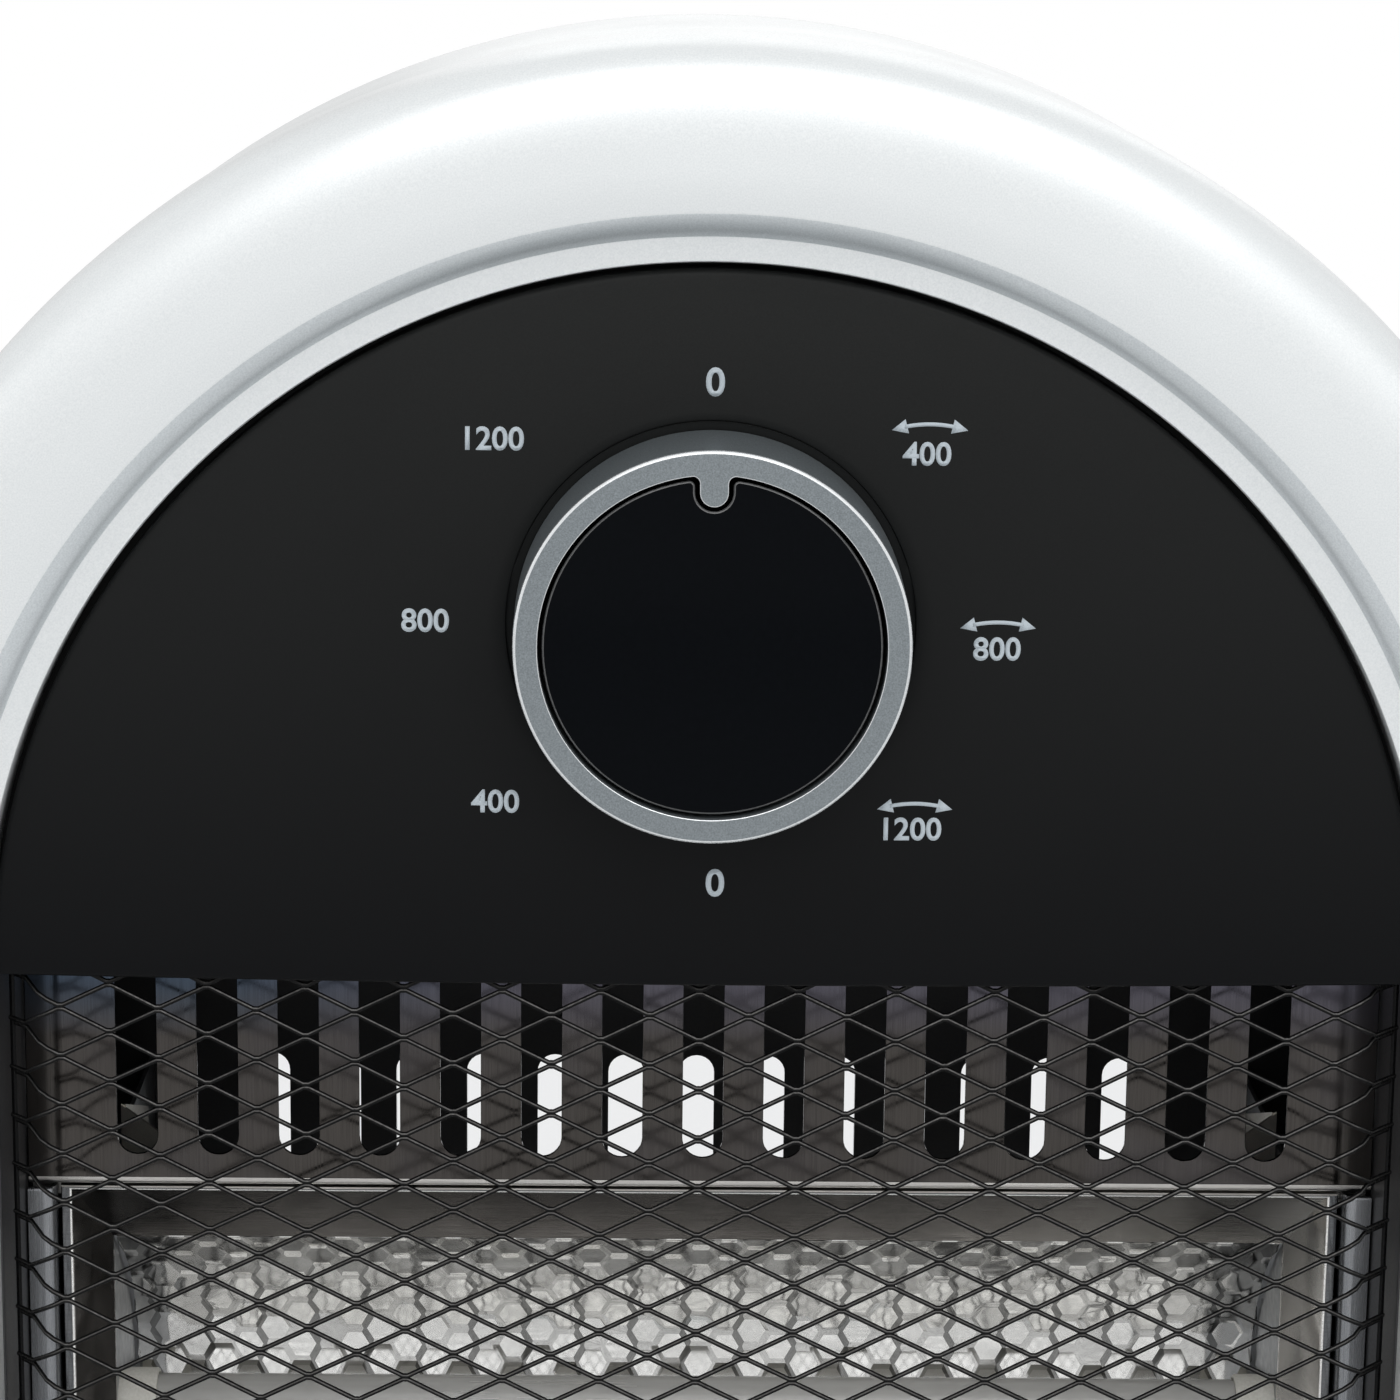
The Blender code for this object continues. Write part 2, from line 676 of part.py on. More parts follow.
def rear_shell():
    outer = BEZEL_BAND - SHELL_INSET
    front = BEZEL_SEAM_DEPTH + SEAT_GAP
    section = [(outer, -front)]
    edge = arc((outer - SHELL_EDGE, -(SHELL_BACK_DEPTH - SHELL_EDGE)), SHELL_EDGE, 0.0, -90.0, 3)
    section += edge
    made = sweep("rear_shell", arch_outline(0.0), section)
    shape = bmesh.new()
    shape.from_mesh(made.data)
    rim = [edge for edge in shape.edges
           if edge.is_boundary and max(v.co.z for v in edge.verts) < MERGE - SHELL_BACK_DEPTH]
    bmesh.ops.edgeloop_fill(shape, edges=rim)
    bmesh.ops.recalc_face_normals(shape, faces=shape.faces)
    shape.to_mesh(made.data)
    shape.free()
    place(made, FRONT, FACING_FRONT)
    solidify(made, SHELL_WALL)

    for i, (x, height) in enumerate(HEAD_SCREWS, start=1):
        inner = SHELL_BACK_DEPTH - SHELL_WALL / 2
        boss = cylinder(f"head_boss_{i}", BOSS_RADIUS, -inner, HEAD_BOSS_LENGTH - inner, STEPS_SMALL)
        unite(made, place(boss, in_head(x, 0.0, height), FACING_FRONT))
    slots = [upright_slot(x, VENT_TOP, VENT_BOTTOM, VENT_WIDTH, 3) for x in row(VENT_COUNT, VENT_PITCH)]
    vents = plate("vent_cutter", slots, SHELL_WALL * 4, cutters)
    cut(made, place(vents, in_head(0.0, SHELL_BACK_DEPTH, 0.0), FACING_FRONT))
    opening = rounded_rectangle(GRIP_HALF_WIDTH + GRIP_WALL + SEAT_GAP,
                                GRIP_HALF_HEIGHT + GRIP_WALL + SEAT_GAP,
                                GRIP_CORNER + GRIP_WALL + SEAT_GAP)
    hole = plate("grip_cutter", [opening], SHELL_WALL * 4, cutters)
    cut(made, place(hole, in_head(0.0, SHELL_BACK_DEPTH, GRIP_HEIGHT), FACING_FRONT))
    neck = cylinder("neck_hole_cutter", NECK_TUBE + SEAT_GAP, HEAD_BOTTOM_Z - SHELL_WALL,
                    HEAD_BOTTOM_Z + SHELL_WALL * 2, STEPS_MEDIUM)
    cut(made, neck)
    for i, (x, height) in enumerate(HEAD_SCREWS, start=1):
        pilot = cylinder(f"head_pilot_{i}", SCREW_SHANK + SEAT_GAP, -SHELL_BACK_DEPTH - SHELL_WALL,
                         SCREW_LENGTH + SHELL_WALL - SHELL_BACK_DEPTH, STEPS_SMALL)
        cut(made, place(pilot, in_head(x, 0.0, height), FACING_FRONT))
    return finish(made, SILVER_PAINT)


def screw_profile():
    """A pan-head screw, its head's underside at height 0 and its shank above."""
    head = SCREW_HEAD_HEIGHT
    return [(0.0, SCREW_LENGTH), (SCREW_SHANK, SCREW_LENGTH), (SCREW_SHANK, 0.0), (SCREW_HEAD, 0.0),
            (SCREW_HEAD * 0.9, -head), (0.0, -head)]


def rear_screws():
    for i, (x, height) in enumerate(HEAD_SCREWS, start=1):
        made = turned(f"rear_screw_{i}", screw_profile(), STEPS_SCREW)
        place(made, in_head(x, SHELL_BACK_DEPTH + SEAT_GAP, height), FACING_FRONT)
        finish(made, ZINC_STEEL)


def handle_cup():
    back = SHELL_BACK_DEPTH + SEAT_GAP + GRIP_WALL
    rings = []
    for half_width, half_height, corner, depth in (
            (GRIP_HALF_WIDTH + GRIP_LIP, GRIP_HALF_HEIGHT + GRIP_LIP, GRIP_CORNER + GRIP_LIP, back),
            (GRIP_HALF_WIDTH, GRIP_HALF_HEIGHT, GRIP_CORNER, back),
            (GRIP_HALF_WIDTH - GRIP_DRAFT, GRIP_HALF_HEIGHT - GRIP_DRAFT, GRIP_CORNER - GRIP_DRAFT,
             back - GRIP_DEPTH)):
        outline = rounded_rectangle(half_width, half_height, corner)
        rings.append([(x, y, -depth) for x, y in outline])
    made = lofted("handle_cup", rings, True)
    shape = bmesh.new()
    shape.from_mesh(made.data)
    bmesh.ops.recalc_face_normals(shape, faces=shape.faces)
    if shape.faces[0].normal.z > 0:
        bmesh.ops.reverse_faces(shape, faces=shape.faces)
    shape.to_mesh(made.data)
    shape.free()
    place(made, in_head(0.0, 0.0, GRIP_HEIGHT), FACING_FRONT)
    solidify(made, GRIP_WALL)
    return finish(made, DARK_PLASTIC)


# Control panel and knob

def control_fascia():
    radii = [0.0, PANEL_RADIUS * PANEL_RING_SHARE, PANEL_RADIUS - PANEL_EDGE]
    profile = [(radius, -panel_front(radius)) for radius in radii]
    flange_front = THROAT_DEPTH + SEAT_GAP
    flange_back = flange_front + PANEL_FLANGE_THICK
    profile += [(PANEL_RADIUS, -panel_front(PANEL_RADIUS) - PANEL_EDGE),
                (PANEL_RADIUS, -flange_front),
                (WINDOW_HALF + PANEL_FLANGE, -flange_front),
                (WINDOW_HALF + PANEL_FLANGE, -flange_back),
                (PANEL_RADIUS - PANEL_SKIRT, -flange_back)]
    inner = [(PANEL_RADIUS - PANEL_SKIRT) * share for share in (1.0, PANEL_RING_SHARE, 0.0)]
    profile += [(radius, -panel_front(radius) - PANEL_WALL) for radius in inner]
    made = turned("control_fascia", profile, ARCH_STEPS * 2)
    place(made, FRONT, FACING_FRONT)
    reach = WINDOW_HALF + BEZEL_BAND
    below = box("panel_half_cutter", in_head(-reach, -PANEL_CUT_REACH, -reach),
                in_head(reach, PANEL_CUT_REACH, 0.0))
    cut(made, below)
    notch = box("panel_notch_cutter",
                in_head(-reach, panel_front(PANEL_RADIUS) + PANEL_WALL + SEAT_GAP, -PANEL_WALL),
                in_head(reach, PANEL_CUT_REACH, PANEL_NOTCH_HEIGHT))
    cut(made, notch)
    well = cylinder("knob_well_cutter", WELL_RADIUS, -WELL_FLOOR_DEPTH, PANEL_CUT_REACH, STEPS_KNOB)
    cut(made, place(well, in_head(0.0, 0.0, KNOB_HEIGHT), FACING_FRONT))
    hole = cylinder("shaft_hole_cutter", SHAFT_RADIUS + RUNNING_GAP, -PANEL_CUT_REACH, PANEL_CUT_REACH,
                    STEPS_SMALL)
    cut(made, place(hole, in_head(0.0, 0.0, KNOB_HEIGHT), FACING_FRONT))
    return finish(made, SATIN_BLACK)


def pointer_shape(name, half_width, tip, low, high):
    """A tongue from the knob's rim towards its centre, with a round tip."""
    outline = arc((0.0, tip + half_width), half_width, 180.0, 360.0, 6)
    outline += [(half_width, KNOB_FRONT_RADIUS - 0.002), (-half_width, KNOB_FRONT_RADIUS - 0.002)]
    made = plate(name, [outline], high - low, cutters)
    return place(made, in_head(0.0, -(low + high) / 2, KNOB_HEIGHT), FACING_FRONT)


def knob():
    base = -WELL_FLOOR_DEPTH + SEAT_GAP
    web = KNOB_FLOOR_RISE - KNOB_WEB
    bore = SHAFT_RADIUS + SEAT_GAP
    bore_end = web - KNOB_WEB + 0.0005
    profile = [(0.0, KNOB_FLOOR_RISE), (KNOB_RING_INNER, KNOB_FLOOR_RISE),
               (KNOB_RING_INNER, KNOB_RISE),
               (KNOB_FRONT_RADIUS - KNOB_EDGE, KNOB_RISE),
               (KNOB_FRONT_RADIUS, KNOB_RISE - KNOB_EDGE),
               (KNOB_RADIUS, base), (KNOB_RADIUS - KNOB_WALL, base),
               (KNOB_RADIUS - KNOB_WALL, web), (KNOB_HUB, web),
               (KNOB_HUB, bore_end - SHAFT_ENGAGE), (bore, bore_end - SHAFT_ENGAGE),
               (bore, bore_end), (0.0, bore_end)]
    ring = turned("knob_ring", profile, STEPS_KNOB)
    place(ring, in_head(0.0, 0.0, KNOB_HEIGHT), FACING_FRONT)
    unite(ring, pointer_shape("pointer", POINTER_HALF_WIDTH, POINTER_TIP,
                              KNOB_FLOOR_RISE - KNOB_WEB / 2, KNOB_RISE - 0.0001))
    finish(ring, KNOB_SILVER)

    low = KNOB_FLOOR_RISE + SEAT_GAP
    dome = [(CAP_RADIUS * share, CAP_EDGE_RISE + CAP_DOME * (1 - share ** 2))
            for share in (0.0, 0.5, 0.85, 0.97)]
    profile = dome + [(CAP_RADIUS, CAP_EDGE_RISE - 0.0006), (CAP_RADIUS, low), (0.0, low)]
    cap = turned("knob_cap", profile, STEPS_KNOB)
    place(cap, in_head(0.0, 0.0, KNOB_HEIGHT), FACING_FRONT)
    cut(cap, pointer_shape("pointer_notch_cutter", POINTER_HALF_WIDTH + POINTER_MARGIN,
                           POINTER_TIP - POINTER_MARGIN, low - 0.001, KNOB_RISE + 0.003))
    finish(cap, GLOSS_BLACK)

    shaft_end = -(switch_front() + SWITCH_SHAFT_DEPTH - SEAT_GAP)
    shaft = cylinder("switch_shaft", SHAFT_RADIUS, shaft_end, bore_end - SEAT_GAP, STEPS_SMALL, parts)
    place(shaft, in_head(0.0, 0.0, KNOB_HEIGHT), FACING_FRONT)
    finish(shaft, ZINC_STEEL)


def switch_front():
    """Depth of the selector's front, just behind the panel's highest point there."""
    reach = math.hypot(SWITCH_SIZE[0] / 2, KNOB_HEIGHT + SWITCH_SIZE[1] / 2)
    return panel_front(reach) + PANEL_WALL + SEAT_GAP


def rotary_switch():
    front = switch_front()
    half = SWITCH_SIZE[0] / 2
    tall = SWITCH_SIZE[1] / 2
    low = (-half, front, KNOB_HEIGHT - tall)
    high = (half, front + SWITCH_SIZE[2], KNOB_HEIGHT + tall)
    made = box("rotary_switch", in_head(*low), in_head(*high), parts)
    bevel(made, 0.002)
    for i in range(SWITCH_TAB_COUNT):
        angle = math.radians(45.0 + 90.0 * i)
        x = SWITCH_TAB_CIRCLE * math.cos(angle)
        height = KNOB_HEIGHT + SWITCH_TAB_CIRCLE * math.sin(angle)
        back = front + SWITCH_SIZE[2]
        tab = box(f"switch_tab_{i + 1}",
                  in_head(x - SWITCH_TAB[0] / 2, back - 0.001, height - SWITCH_TAB[1] / 2),
                  in_head(x + SWITCH_TAB[0] / 2, back + SWITCH_TAB[2], height + SWITCH_TAB[1] / 2))
        unite(made, tab)
    bore = cylinder("switch_bore_cutter", SHAFT_RADIUS + RUNNING_GAP, -front - SWITCH_SHAFT_DEPTH,
                    0.001 - front, STEPS_SMALL)
    cut(made, place(bore, in_head(0.0, 0.0, KNOB_HEIGHT), FACING_FRONT))
    return finish(made, DARK_PLASTIC)


# Guard and its surround

def guard_mesh():
    """A net of diamonds over the window, bowed like the panel and bent back at both sides."""
    half = GUARD_STRAND / 2
    centre_depth = panel_front(0.0) + PANEL_WALL + SEAT_GAP + half
    edge_x = WINDOW_HALF - SURROUND_INSET - SEAT_GAP - GUARD_STRAND * 0.75
    bottom = -(WINDOW_DROP - SURROUND_INSET - SEAT_GAP - half)
    top = GUARD_TUCK
    flat_columns = GUARD_COLUMNS - 2
    corner_x = WINDOW_HALF - WINDOW_CORNER
    corner_z = -WINDOW_DROP + WINDOW_CORNER
    corner_radius = WINDOW_CORNER - SURROUND_INSET - SEAT_GAP - half

    def node(column, line):
        height = bottom + (top - bottom) * line / GUARD_ROWS
        if column in (0, GUARD_COLUMNS):
            x = edge_x if column else -edge_x
            depth = GUARD_RETURN_DEPTH
        else:
            x = GUARD_FLAT_HALF * (2 * (column - 1) / flat_columns - 1)
            depth = centre_depth + PANEL_DOME * (x / PANEL_RADIUS) ** 2
        dx = abs(x) - corner_x
        dz = height - corner_z
        reach = math.hypot(dx, dz)
        if dx > 0 and dz < 0 and reach > corner_radius:
            x = math.copysign(corner_x + dx * corner_radius / reach, x)
            height = corner_z + dz * corner_radius / reach
        return in_head(x, depth, height)

    shape = bmesh.new()
    verts = {}
    for column in range(GUARD_COLUMNS + 1):
        for line in range(GUARD_ROWS + 1):
            if (column + line) % 2 == 0:
                verts[column, line] = shape.verts.new(node(column, line))
    for column in range(GUARD_COLUMNS + 1):
        for line in range(GUARD_ROWS + 1):
            if (column + line) % 2 == 1:
                ring = [(column - 1, line), (column, line - 1), (column + 1, line), (column, line + 1)]
                corners = [verts[place_at] for place_at in ring if place_at in verts]
                shape.faces.new(corners)
    bmesh.ops.recalc_face_normals(shape, faces=shape.faces)
    made = from_bmesh("guard_mesh", shape)
    wires = made.modifiers.new("strands", "WIREFRAME")
    wires.thickness = GUARD_STRAND
    wires.offset = 0.0
    wires.use_boundary = True
    wires.use_replace = True
    wires.use_even_offset = True
    return finish(made, GUARD_BLACK)


def window_surround():
    """A sleeve round the window's sides and bottom, with a flange behind the bezel."""
    front = THROAT_DEPTH + SEAT_GAP
    rings = [(SURROUND_FLANGE, front), (-SURROUND_INSET, front), (-SURROUND_INSET, SURROUND_BACK_DEPTH)]
    lines = [[in_head(x, depth, height) for x, height in lower_outline(offset)]
             for offset, depth in rings]
    shape = bmesh.new()
    loops = [[shape.verts.new(point) for point in line] for line in lines]
    for near, far in zip(loops, loops[1:]):
        for i in range(len(near) - 1):
            shape.faces.new((near[i], near[i + 1], far[i + 1], far[i]))
    bmesh.ops.recalc_face_normals(shape, faces=shape.faces)
    if shape.faces[0].normal.y > 0:
        bmesh.ops.reverse_faces(shape, faces=shape.faces)
    made = from_bmesh("window_surround", shape)
    solidify(made, SURROUND_WALL)
    return finish(made, DARK_PLASTIC)


# Steelwork behind the guard

def slotted_liner():
    half = WINDOW_HALF - SURROUND_INSET - SEAT_GAP
    profile = [(LINER_DEPTH + LINER_HEM, LINER_BOTTOM), (LINER_DEPTH, LINER_BOTTOM),
               (LINER_DEPTH, LINER_TOP)]
    made = drawn_sheet("slotted_liner", profile, -half, half)
    place(made, FRONT)
    solidify(made, STEEL, 0.0)
    slots = [upright_slot(x, SLOT_TOP, SLOT_BOTTOM, SLOT_WIDTH, 4) for x in row(SLOT_COUNT, SLOT_PITCH)]
    cutter = plate("liner_slot_cutter", slots, STEEL * 3, cutters)
    cut(made, place(cutter, in_head(0.0, LINER_DEPTH, 0.0), FACING_FRONT))
    return finish(made, BRUSHED_STEEL)


def heat_baffle():
    lip_depth = LINER_DEPTH + STEEL + SEAT_GAP
    top = LINER_TOP + STEEL / 2
    inner_back = SHELL_BACK_DEPTH - SHELL_WALL - SEAT_GAP
    profile = [(lip_depth, top - BAFFLE_LIP), (lip_depth, top), (inner_back, top)]
    made = drawn_sheet("heat_baffle", profile, -BAFFLE_HALF, BAFFLE_HALF)
    place(made, FRONT)
    solidify(made, STEEL, 0.0)
    return finish(made, ZINC_STEEL)


def reflector_frame():
    """A sloped frame that leads in to the reflector, its outer edge turned back."""
    wrap = FRAME_DEPTH + FRAME_EDGE
    slope = STEEL * 1.5
    rings = []
    for inset, share, depth in ((0.0, 0.0, FRAME_DEPTH), (0.0, 1.0, MIRROR_DEPTH),
                                (0.0, 1.0, MIRROR_DEPTH + slope), (STEEL, 0.0, FRAME_DEPTH + slope * 2),
                                (STEEL, 0.0, wrap), (0.0, 0.0, wrap)):
        half = FRAME_HALF + (MIRROR_HALF - FRAME_HALF) * share - inset
        top = FRAME_TOP + (MIRROR_TOP - FRAME_TOP) * share - inset
        bottom = FRAME_BOTTOM + (MIRROR_BOTTOM - FRAME_BOTTOM) * share + inset
        rings.append([in_head(-half, depth, bottom), in_head(half, depth, bottom),
                      in_head(half, depth, top), in_head(-half, depth, top)])
    made = lofted("reflector_frame", rings, close_ring=True)
    return finish(made, BRUSHED_STEEL)


def reflector_panel():
    """Three shallow troughs, one behind each tube."""
    pitch = (MIRROR_TOP - MIRROR_BOTTOM) / TUBE_COUNT
    profile = []
    for trough in range(TUBE_COUNT):
        centre = MIRROR_TOP - pitch * (trough + 0.5)
        for i in range(TROUGH_STEPS + 1):
            share = 2 * i / TROUGH_STEPS - 1
            end = (trough == 0 and share < 0) or (trough == TUBE_COUNT - 1 and share > 0)
            rim = PANEL_LIP_DEPTH if end else PANEL_RIDGE_DEPTH
            depth = PANEL_TROUGH_DEPTH - (PANEL_TROUGH_DEPTH - rim) * share ** 2
            height = centre - share * (pitch / 2 - (PANEL_SHEET if end else 0.0))
            if i or not trough:
                profile.append((depth, height))
    made = drawn_sheet("reflector_panel", profile, -MIRROR_HALF, MIRROR_HALF)
    place(made, FRONT)
    solidify(made, PANEL_SHEET, 0.0)
    return finish(made, BRIGHT_PANEL)


def side_parts(side):
    """Rail, corner bracket and tube bracket of one side; side is -1 on the left, 1 on the right."""
    word = "left" if side < 0 else "right"

    outer = WINDOW_HALF - SURROUND_INSET - SEAT_GAP
    section = [(RAIL_HALF, SURROUND_BACK_DEPTH), (RAIL_HALF, RAIL_DEPTH + RAIL_ROUND)]
    section += arc((RAIL_HALF + RAIL_ROUND, RAIL_DEPTH + RAIL_ROUND), RAIL_ROUND, 180.0, 270.0, 4)[1:]
    section.append((outer, RAIL_DEPTH))
    shape = bmesh.new()
    verts = [shape.verts.new(in_head(side * x, depth, RAIL_TOP)) for x, depth in section]
    edges = [shape.edges.new(pair) for pair in zip(verts, verts[1:])]
    grown = bmesh.ops.extrude_edge_only(shape, edges=edges)["geom"]
    low = [item for item in grown if isinstance(item, bmesh.types.BMVert)]
    bmesh.ops.translate(shape, verts=low, vec=(0.0, 0.0, RAIL_BOTTOM - RAIL_TOP))
    bmesh.ops.recalc_face_normals(shape, faces=shape.faces)
    front = min(shape.faces, key=lambda face: face.calc_center_median().y)
    if front.normal.y > 0:
        bmesh.ops.reverse_faces(shape, faces=shape.faces)
    rail = from_bmesh(f"side_rail_{word}", shape)
    solidify(rail, STEEL)
    finish(rail, BRUSHED_STEEL)

    face = [(side * GUSSET_INNER, GUSSET_BOTTOM), (side * MIRROR_HALF, GUSSET_BOTTOM),
            (side * MIRROR_HALF, GUSSET_OUTER_TOP), (side * GUSSET_INNER, GUSSET_INNER_TOP)]
    gusset = plate(f"side_bracket_{word}", [face], STEEL)
    place(gusset, in_head(0.0, GUSSET_DEPTH + STEEL / 2, 0.0), FACING_FRONT)
    web = [(GUSSET_DEPTH + STEEL / 2, GUSSET_BOTTOM), (GUSSET_BACK_DEPTH, GUSSET_BOTTOM),
           (GUSSET_BACK_DEPTH, GUSSET_REAR_TOP), (GUSSET_DEPTH + STEEL / 2, GUSSET_OUTER_TOP)]
    wing = plate(f"side_web_{word}", [web], STEEL, cutters)
    place(wing, in_head(side * (MIRROR_HALF - STEEL / 2), 0.0, 0.0), (math.pi / 2, 0.0, math.pi / 2))
    unite(gusset, wing)
    finish(gusset, BRUSHED_STEEL)

    back = SHELL_BACK_DEPTH - SHELL_WALL - SEAT_GAP
    near = MIRROR_DEPTH + STEEL + SEAT_GAP
    outline = [(near, BRACKET_BOTTOM), (back, BRACKET_BOTTOM), (back, BRACKET_TOP), (near, BRACKET_TOP)]
    holes = [circle(CERAMIC_RADIUS + SEAT_GAP, STEPS_SMALL, (TUBE_DEPTH, height))
             for height in tube_heights()]
    bracket = plate(f"tube_bracket_{word}", [outline] + holes, STEEL)
    x = side * (MIRROR_HALF + SEAT_GAP + STEEL / 2)
    place(bracket, in_head(x, 0.0, 0.0), (math.pi / 2, 0.0, math.pi / 2))
    finish(bracket, ZINC_STEEL)


def left_side_parts():
    side_parts(-1)


def right_side_parts():
    side_parts(1)


# Heating elements

def coil_points():
    """The coil's centre line along X, with straight tails on the axis."""
    points = [(-TUBE_HALF, 0.0, 0.0), (-TUBE_HALF + COIL_TAIL, 0.0, 0.0)]
    count = COIL_TURNS * COIL_POINTS
    for i in range(count + 1):
        angle = math.tau * i / COIL_POINTS
        x = -COIL_HALF + 2 * COIL_HALF * i / count
        points.append((x, COIL_RADIUS * math.cos(angle), COIL_RADIUS * math.sin(angle)))
    points += [(TUBE_HALF - COIL_TAIL, 0.0, 0.0), (TUBE_HALF, 0.0, 0.0)]
    return points


def coil_gap(points):
    """Least free gap between one turn of the coil and the next."""
    turn = COIL_POINTS
    pairs = zip(points[2:-2], points[2 + turn:-2])
    return min(math.dist(a, b) for a, b in pairs) - 2 * COIL_WIRE


def heating_elements():
    points = coil_points()
    print("least gap between turns of the coil, mm:", round(coil_gap(points) * 1000, 2))
    for number, height in enumerate(tube_heights(), start=1):
        centre = in_head(0.0, TUBE_DEPTH, height)
        inner = TUBE_RADIUS - TUBE_WALL
        profile = [(TUBE_RADIUS, TUBE_HALF), (TUBE_RADIUS, -TUBE_HALF), (inner, -TUBE_HALF),
                   (inner, TUBE_HALF)]
        tube = turned(f"quartz_tube_{number}", profile, STEPS_ROD, True)
        finish(place(tube, centre, ALONG_X), MILKY_QUARTZ)

        wire = poly_curve(f"heating_coil_{number}", [points], False, "3D")
        wire.data.bevel_depth = COIL_WIRE
        wire.data.bevel_resolution = 0
        wire.data.use_fill_caps = True
        place(wire, centre)
        finish(as_mesh(wire), COIL_ALLOY)

        for side, word in ((-1, "left"), (1, "right")):
            seat = TUBE_HALF + SEAT_GAP
            plate_outer = MIRROR_HALF + SEAT_GAP * 2 + STEEL
            flange_end = plate_outer + CERAMIC_FLANGE_THICK
            profile = [(0.0, CERAMIC_OUTER), (CERAMIC_TIP, CERAMIC_OUTER),
                       (CERAMIC_FLANGE, flange_end), (CERAMIC_FLANGE, plate_outer),
                       (CERAMIC_RADIUS, plate_outer), (CERAMIC_RADIUS, CERAMIC_INNER),
                       (TUBE_RADIUS + SEAT_GAP, CERAMIC_INNER), (TUBE_RADIUS + SEAT_GAP, seat),
                       (0.0, seat)]
            cap = turned(f"ceramic_cap_{number}_{word}", profile, STEPS_SMALL)
            finish(place(cap, centre, (0.0, side * math.pi / 2, 0.0)), CERAMIC)


def thermal_cutout():
    x, depth = CUTOUT_PLACE
    top = LINER_TOP - SEAT_GAP
    width, length, thick = CUTOUT_FLANGE
    centre = in_head(x, depth, top)
    made = cylinder("thermal_cutout", CUTOUT_RADIUS, -CUTOUT_HEIGHT, -thick / 2, STEPS_SMALL, parts)
    place(made, centre)
    flange = box("cutout_flange", (-width / 2, -length / 2, -thick), (width / 2, length / 2, 0.0))
    unite(made, place(flange, centre))
    return finish(made, DARK_PLASTIC)


# Neck and swivel

def neck_parts():
    spigot_step = COLLAR_TOP_Z
    profile = [(NECK_TUBE, NECK_TOP_Z + NECK_TUBE_RISE), (NECK_TUBE, NECK_TOP_Z),
               (WASHER_RADIUS, NECK_TOP_Z),
               (NECK_WAIST, NECK_Z + NECK_HEIGHT * 0.7), (NECK_WAIST, NECK_Z + NECK_HEIGHT * 0.4),
               (NECK_FLANGE, NECK_Z + 0.001), (NECK_FLANGE, NECK_Z), (SPIGOT_RADIUS, NECK_Z),
               (SPIGOT_RADIUS, spigot_step), (SPIGOT_TAIL, spigot_step), (SPIGOT_TAIL, SPIGOT_END_Z),
               (NECK_BORE, SPIGOT_END_Z), (NECK_BORE, NECK_TOP_Z + NECK_TUBE_RISE)]
    finish(turned("neck_post", profile, STEPS_MEDIUM, True), DARK_PLASTIC)

    low = HEAD_BOTTOM_Z + SHELL_INSET + SHELL_WALL + SEAT_GAP
    outline = circle(NUT_RADIUS, 6)
    nut = plate("neck_nut", [outline, circle(NECK_TUBE + SEAT_GAP, STEPS_MEDIUM)], NUT_HEIGHT)
    finish(place(nut, (0.0, 0.0, low + NUT_HEIGHT / 2)), ZINC_STEEL)

    top = COLLAR_TOP_Z - SEAT_GAP
    inner = SPIGOT_TAIL + SEAT_GAP
    bottom = ARM_Z + ARM_THICK + SEAT_GAP
    profile = [(COLLAR_RADIUS, top), (COLLAR_RADIUS, top - COLLAR_FLANGE_THICK),
               (COLLAR_SLEEVE, top - COLLAR_FLANGE_THICK), (COLLAR_SLEEVE, bottom), (inner, bottom),
               (inner, top)]
    finish(turned("retaining_collar", profile, STEPS_MEDIUM, True), DARK_PLASTIC)


def thrust_washer():
    profile = [(WASHER_RADIUS, WASHER_Z + WASHER_THICK), (WASHER_RADIUS, WASHER_Z),
               (SPIGOT_RADIUS + RUNNING_GAP, WASHER_Z),
               (SPIGOT_RADIUS + RUNNING_GAP, WASHER_Z + WASHER_THICK)]
    finish(turned("thrust_washer", profile, STEPS_MEDIUM, True), PALE_PLASTIC)


def swivel_arm():
    far = MOTOR_Y + CRANK_THROW
    near = MOTOR_Y - CRANK_THROW
    lean = math.degrees(math.asin((ARM_HUB - ARM_END) / far))
    outline = arc((0.0, 0.0), ARM_HUB, 180.0 - lean, 360.0 + lean, 14)
    outline += arc((0.0, far), ARM_END, lean, 180.0 - lean, 8)
    slot = upright_slot(0.0, far + CRANK_PIN + SEAT_GAP, near - CRANK_PIN - SEAT_GAP,
                        2 * (CRANK_PIN + SEAT_GAP), 4)
    made = plate("swivel_arm", [outline, slot, circle(NECK_BORE, STEPS_SMALL)], ARM_THICK)
    place(made, (0.0, 0.0, ARM_Z + ARM_THICK / 2))
    return finish(made, ZINC_STEEL)


def oscillation_motor():
    profile = [(0.0, MOTOR_TOP_Z), (MOTOR_RADIUS - 0.002, MOTOR_TOP_Z), (MOTOR_RADIUS, MOTOR_TOP_Z - 0.002),
               (MOTOR_RADIUS, INSIDE_Z), (0.0, INSIDE_Z)]
    motor = turned("oscillation_motor", profile, STEPS_MEDIUM)
    place(motor, (0.0, MOTOR_Y, 0.0))
    ears = box("motor_ears", (-MOTOR_EAR, MOTOR_Y - MOTOR_EAR_WIDTH / 2, INSIDE_Z),
               (MOTOR_EAR, MOTOR_Y + MOTOR_EAR_WIDTH / 2, INSIDE_Z + MOTOR_EAR_THICK))
    unite(motor, ears)
    bore = cylinder("motor_bore_cutter", CRANK_HUB + RUNNING_GAP, CRANK_Z - CRANK_HUB_LENGTH - RUNNING_GAP,
                    MOTOR_TOP_Z + 0.001, STEPS_SMALL)
    cut(motor, place(bore, (0.0, MOTOR_Y, 0.0)))
    finish(motor, DARK_PLASTIC)


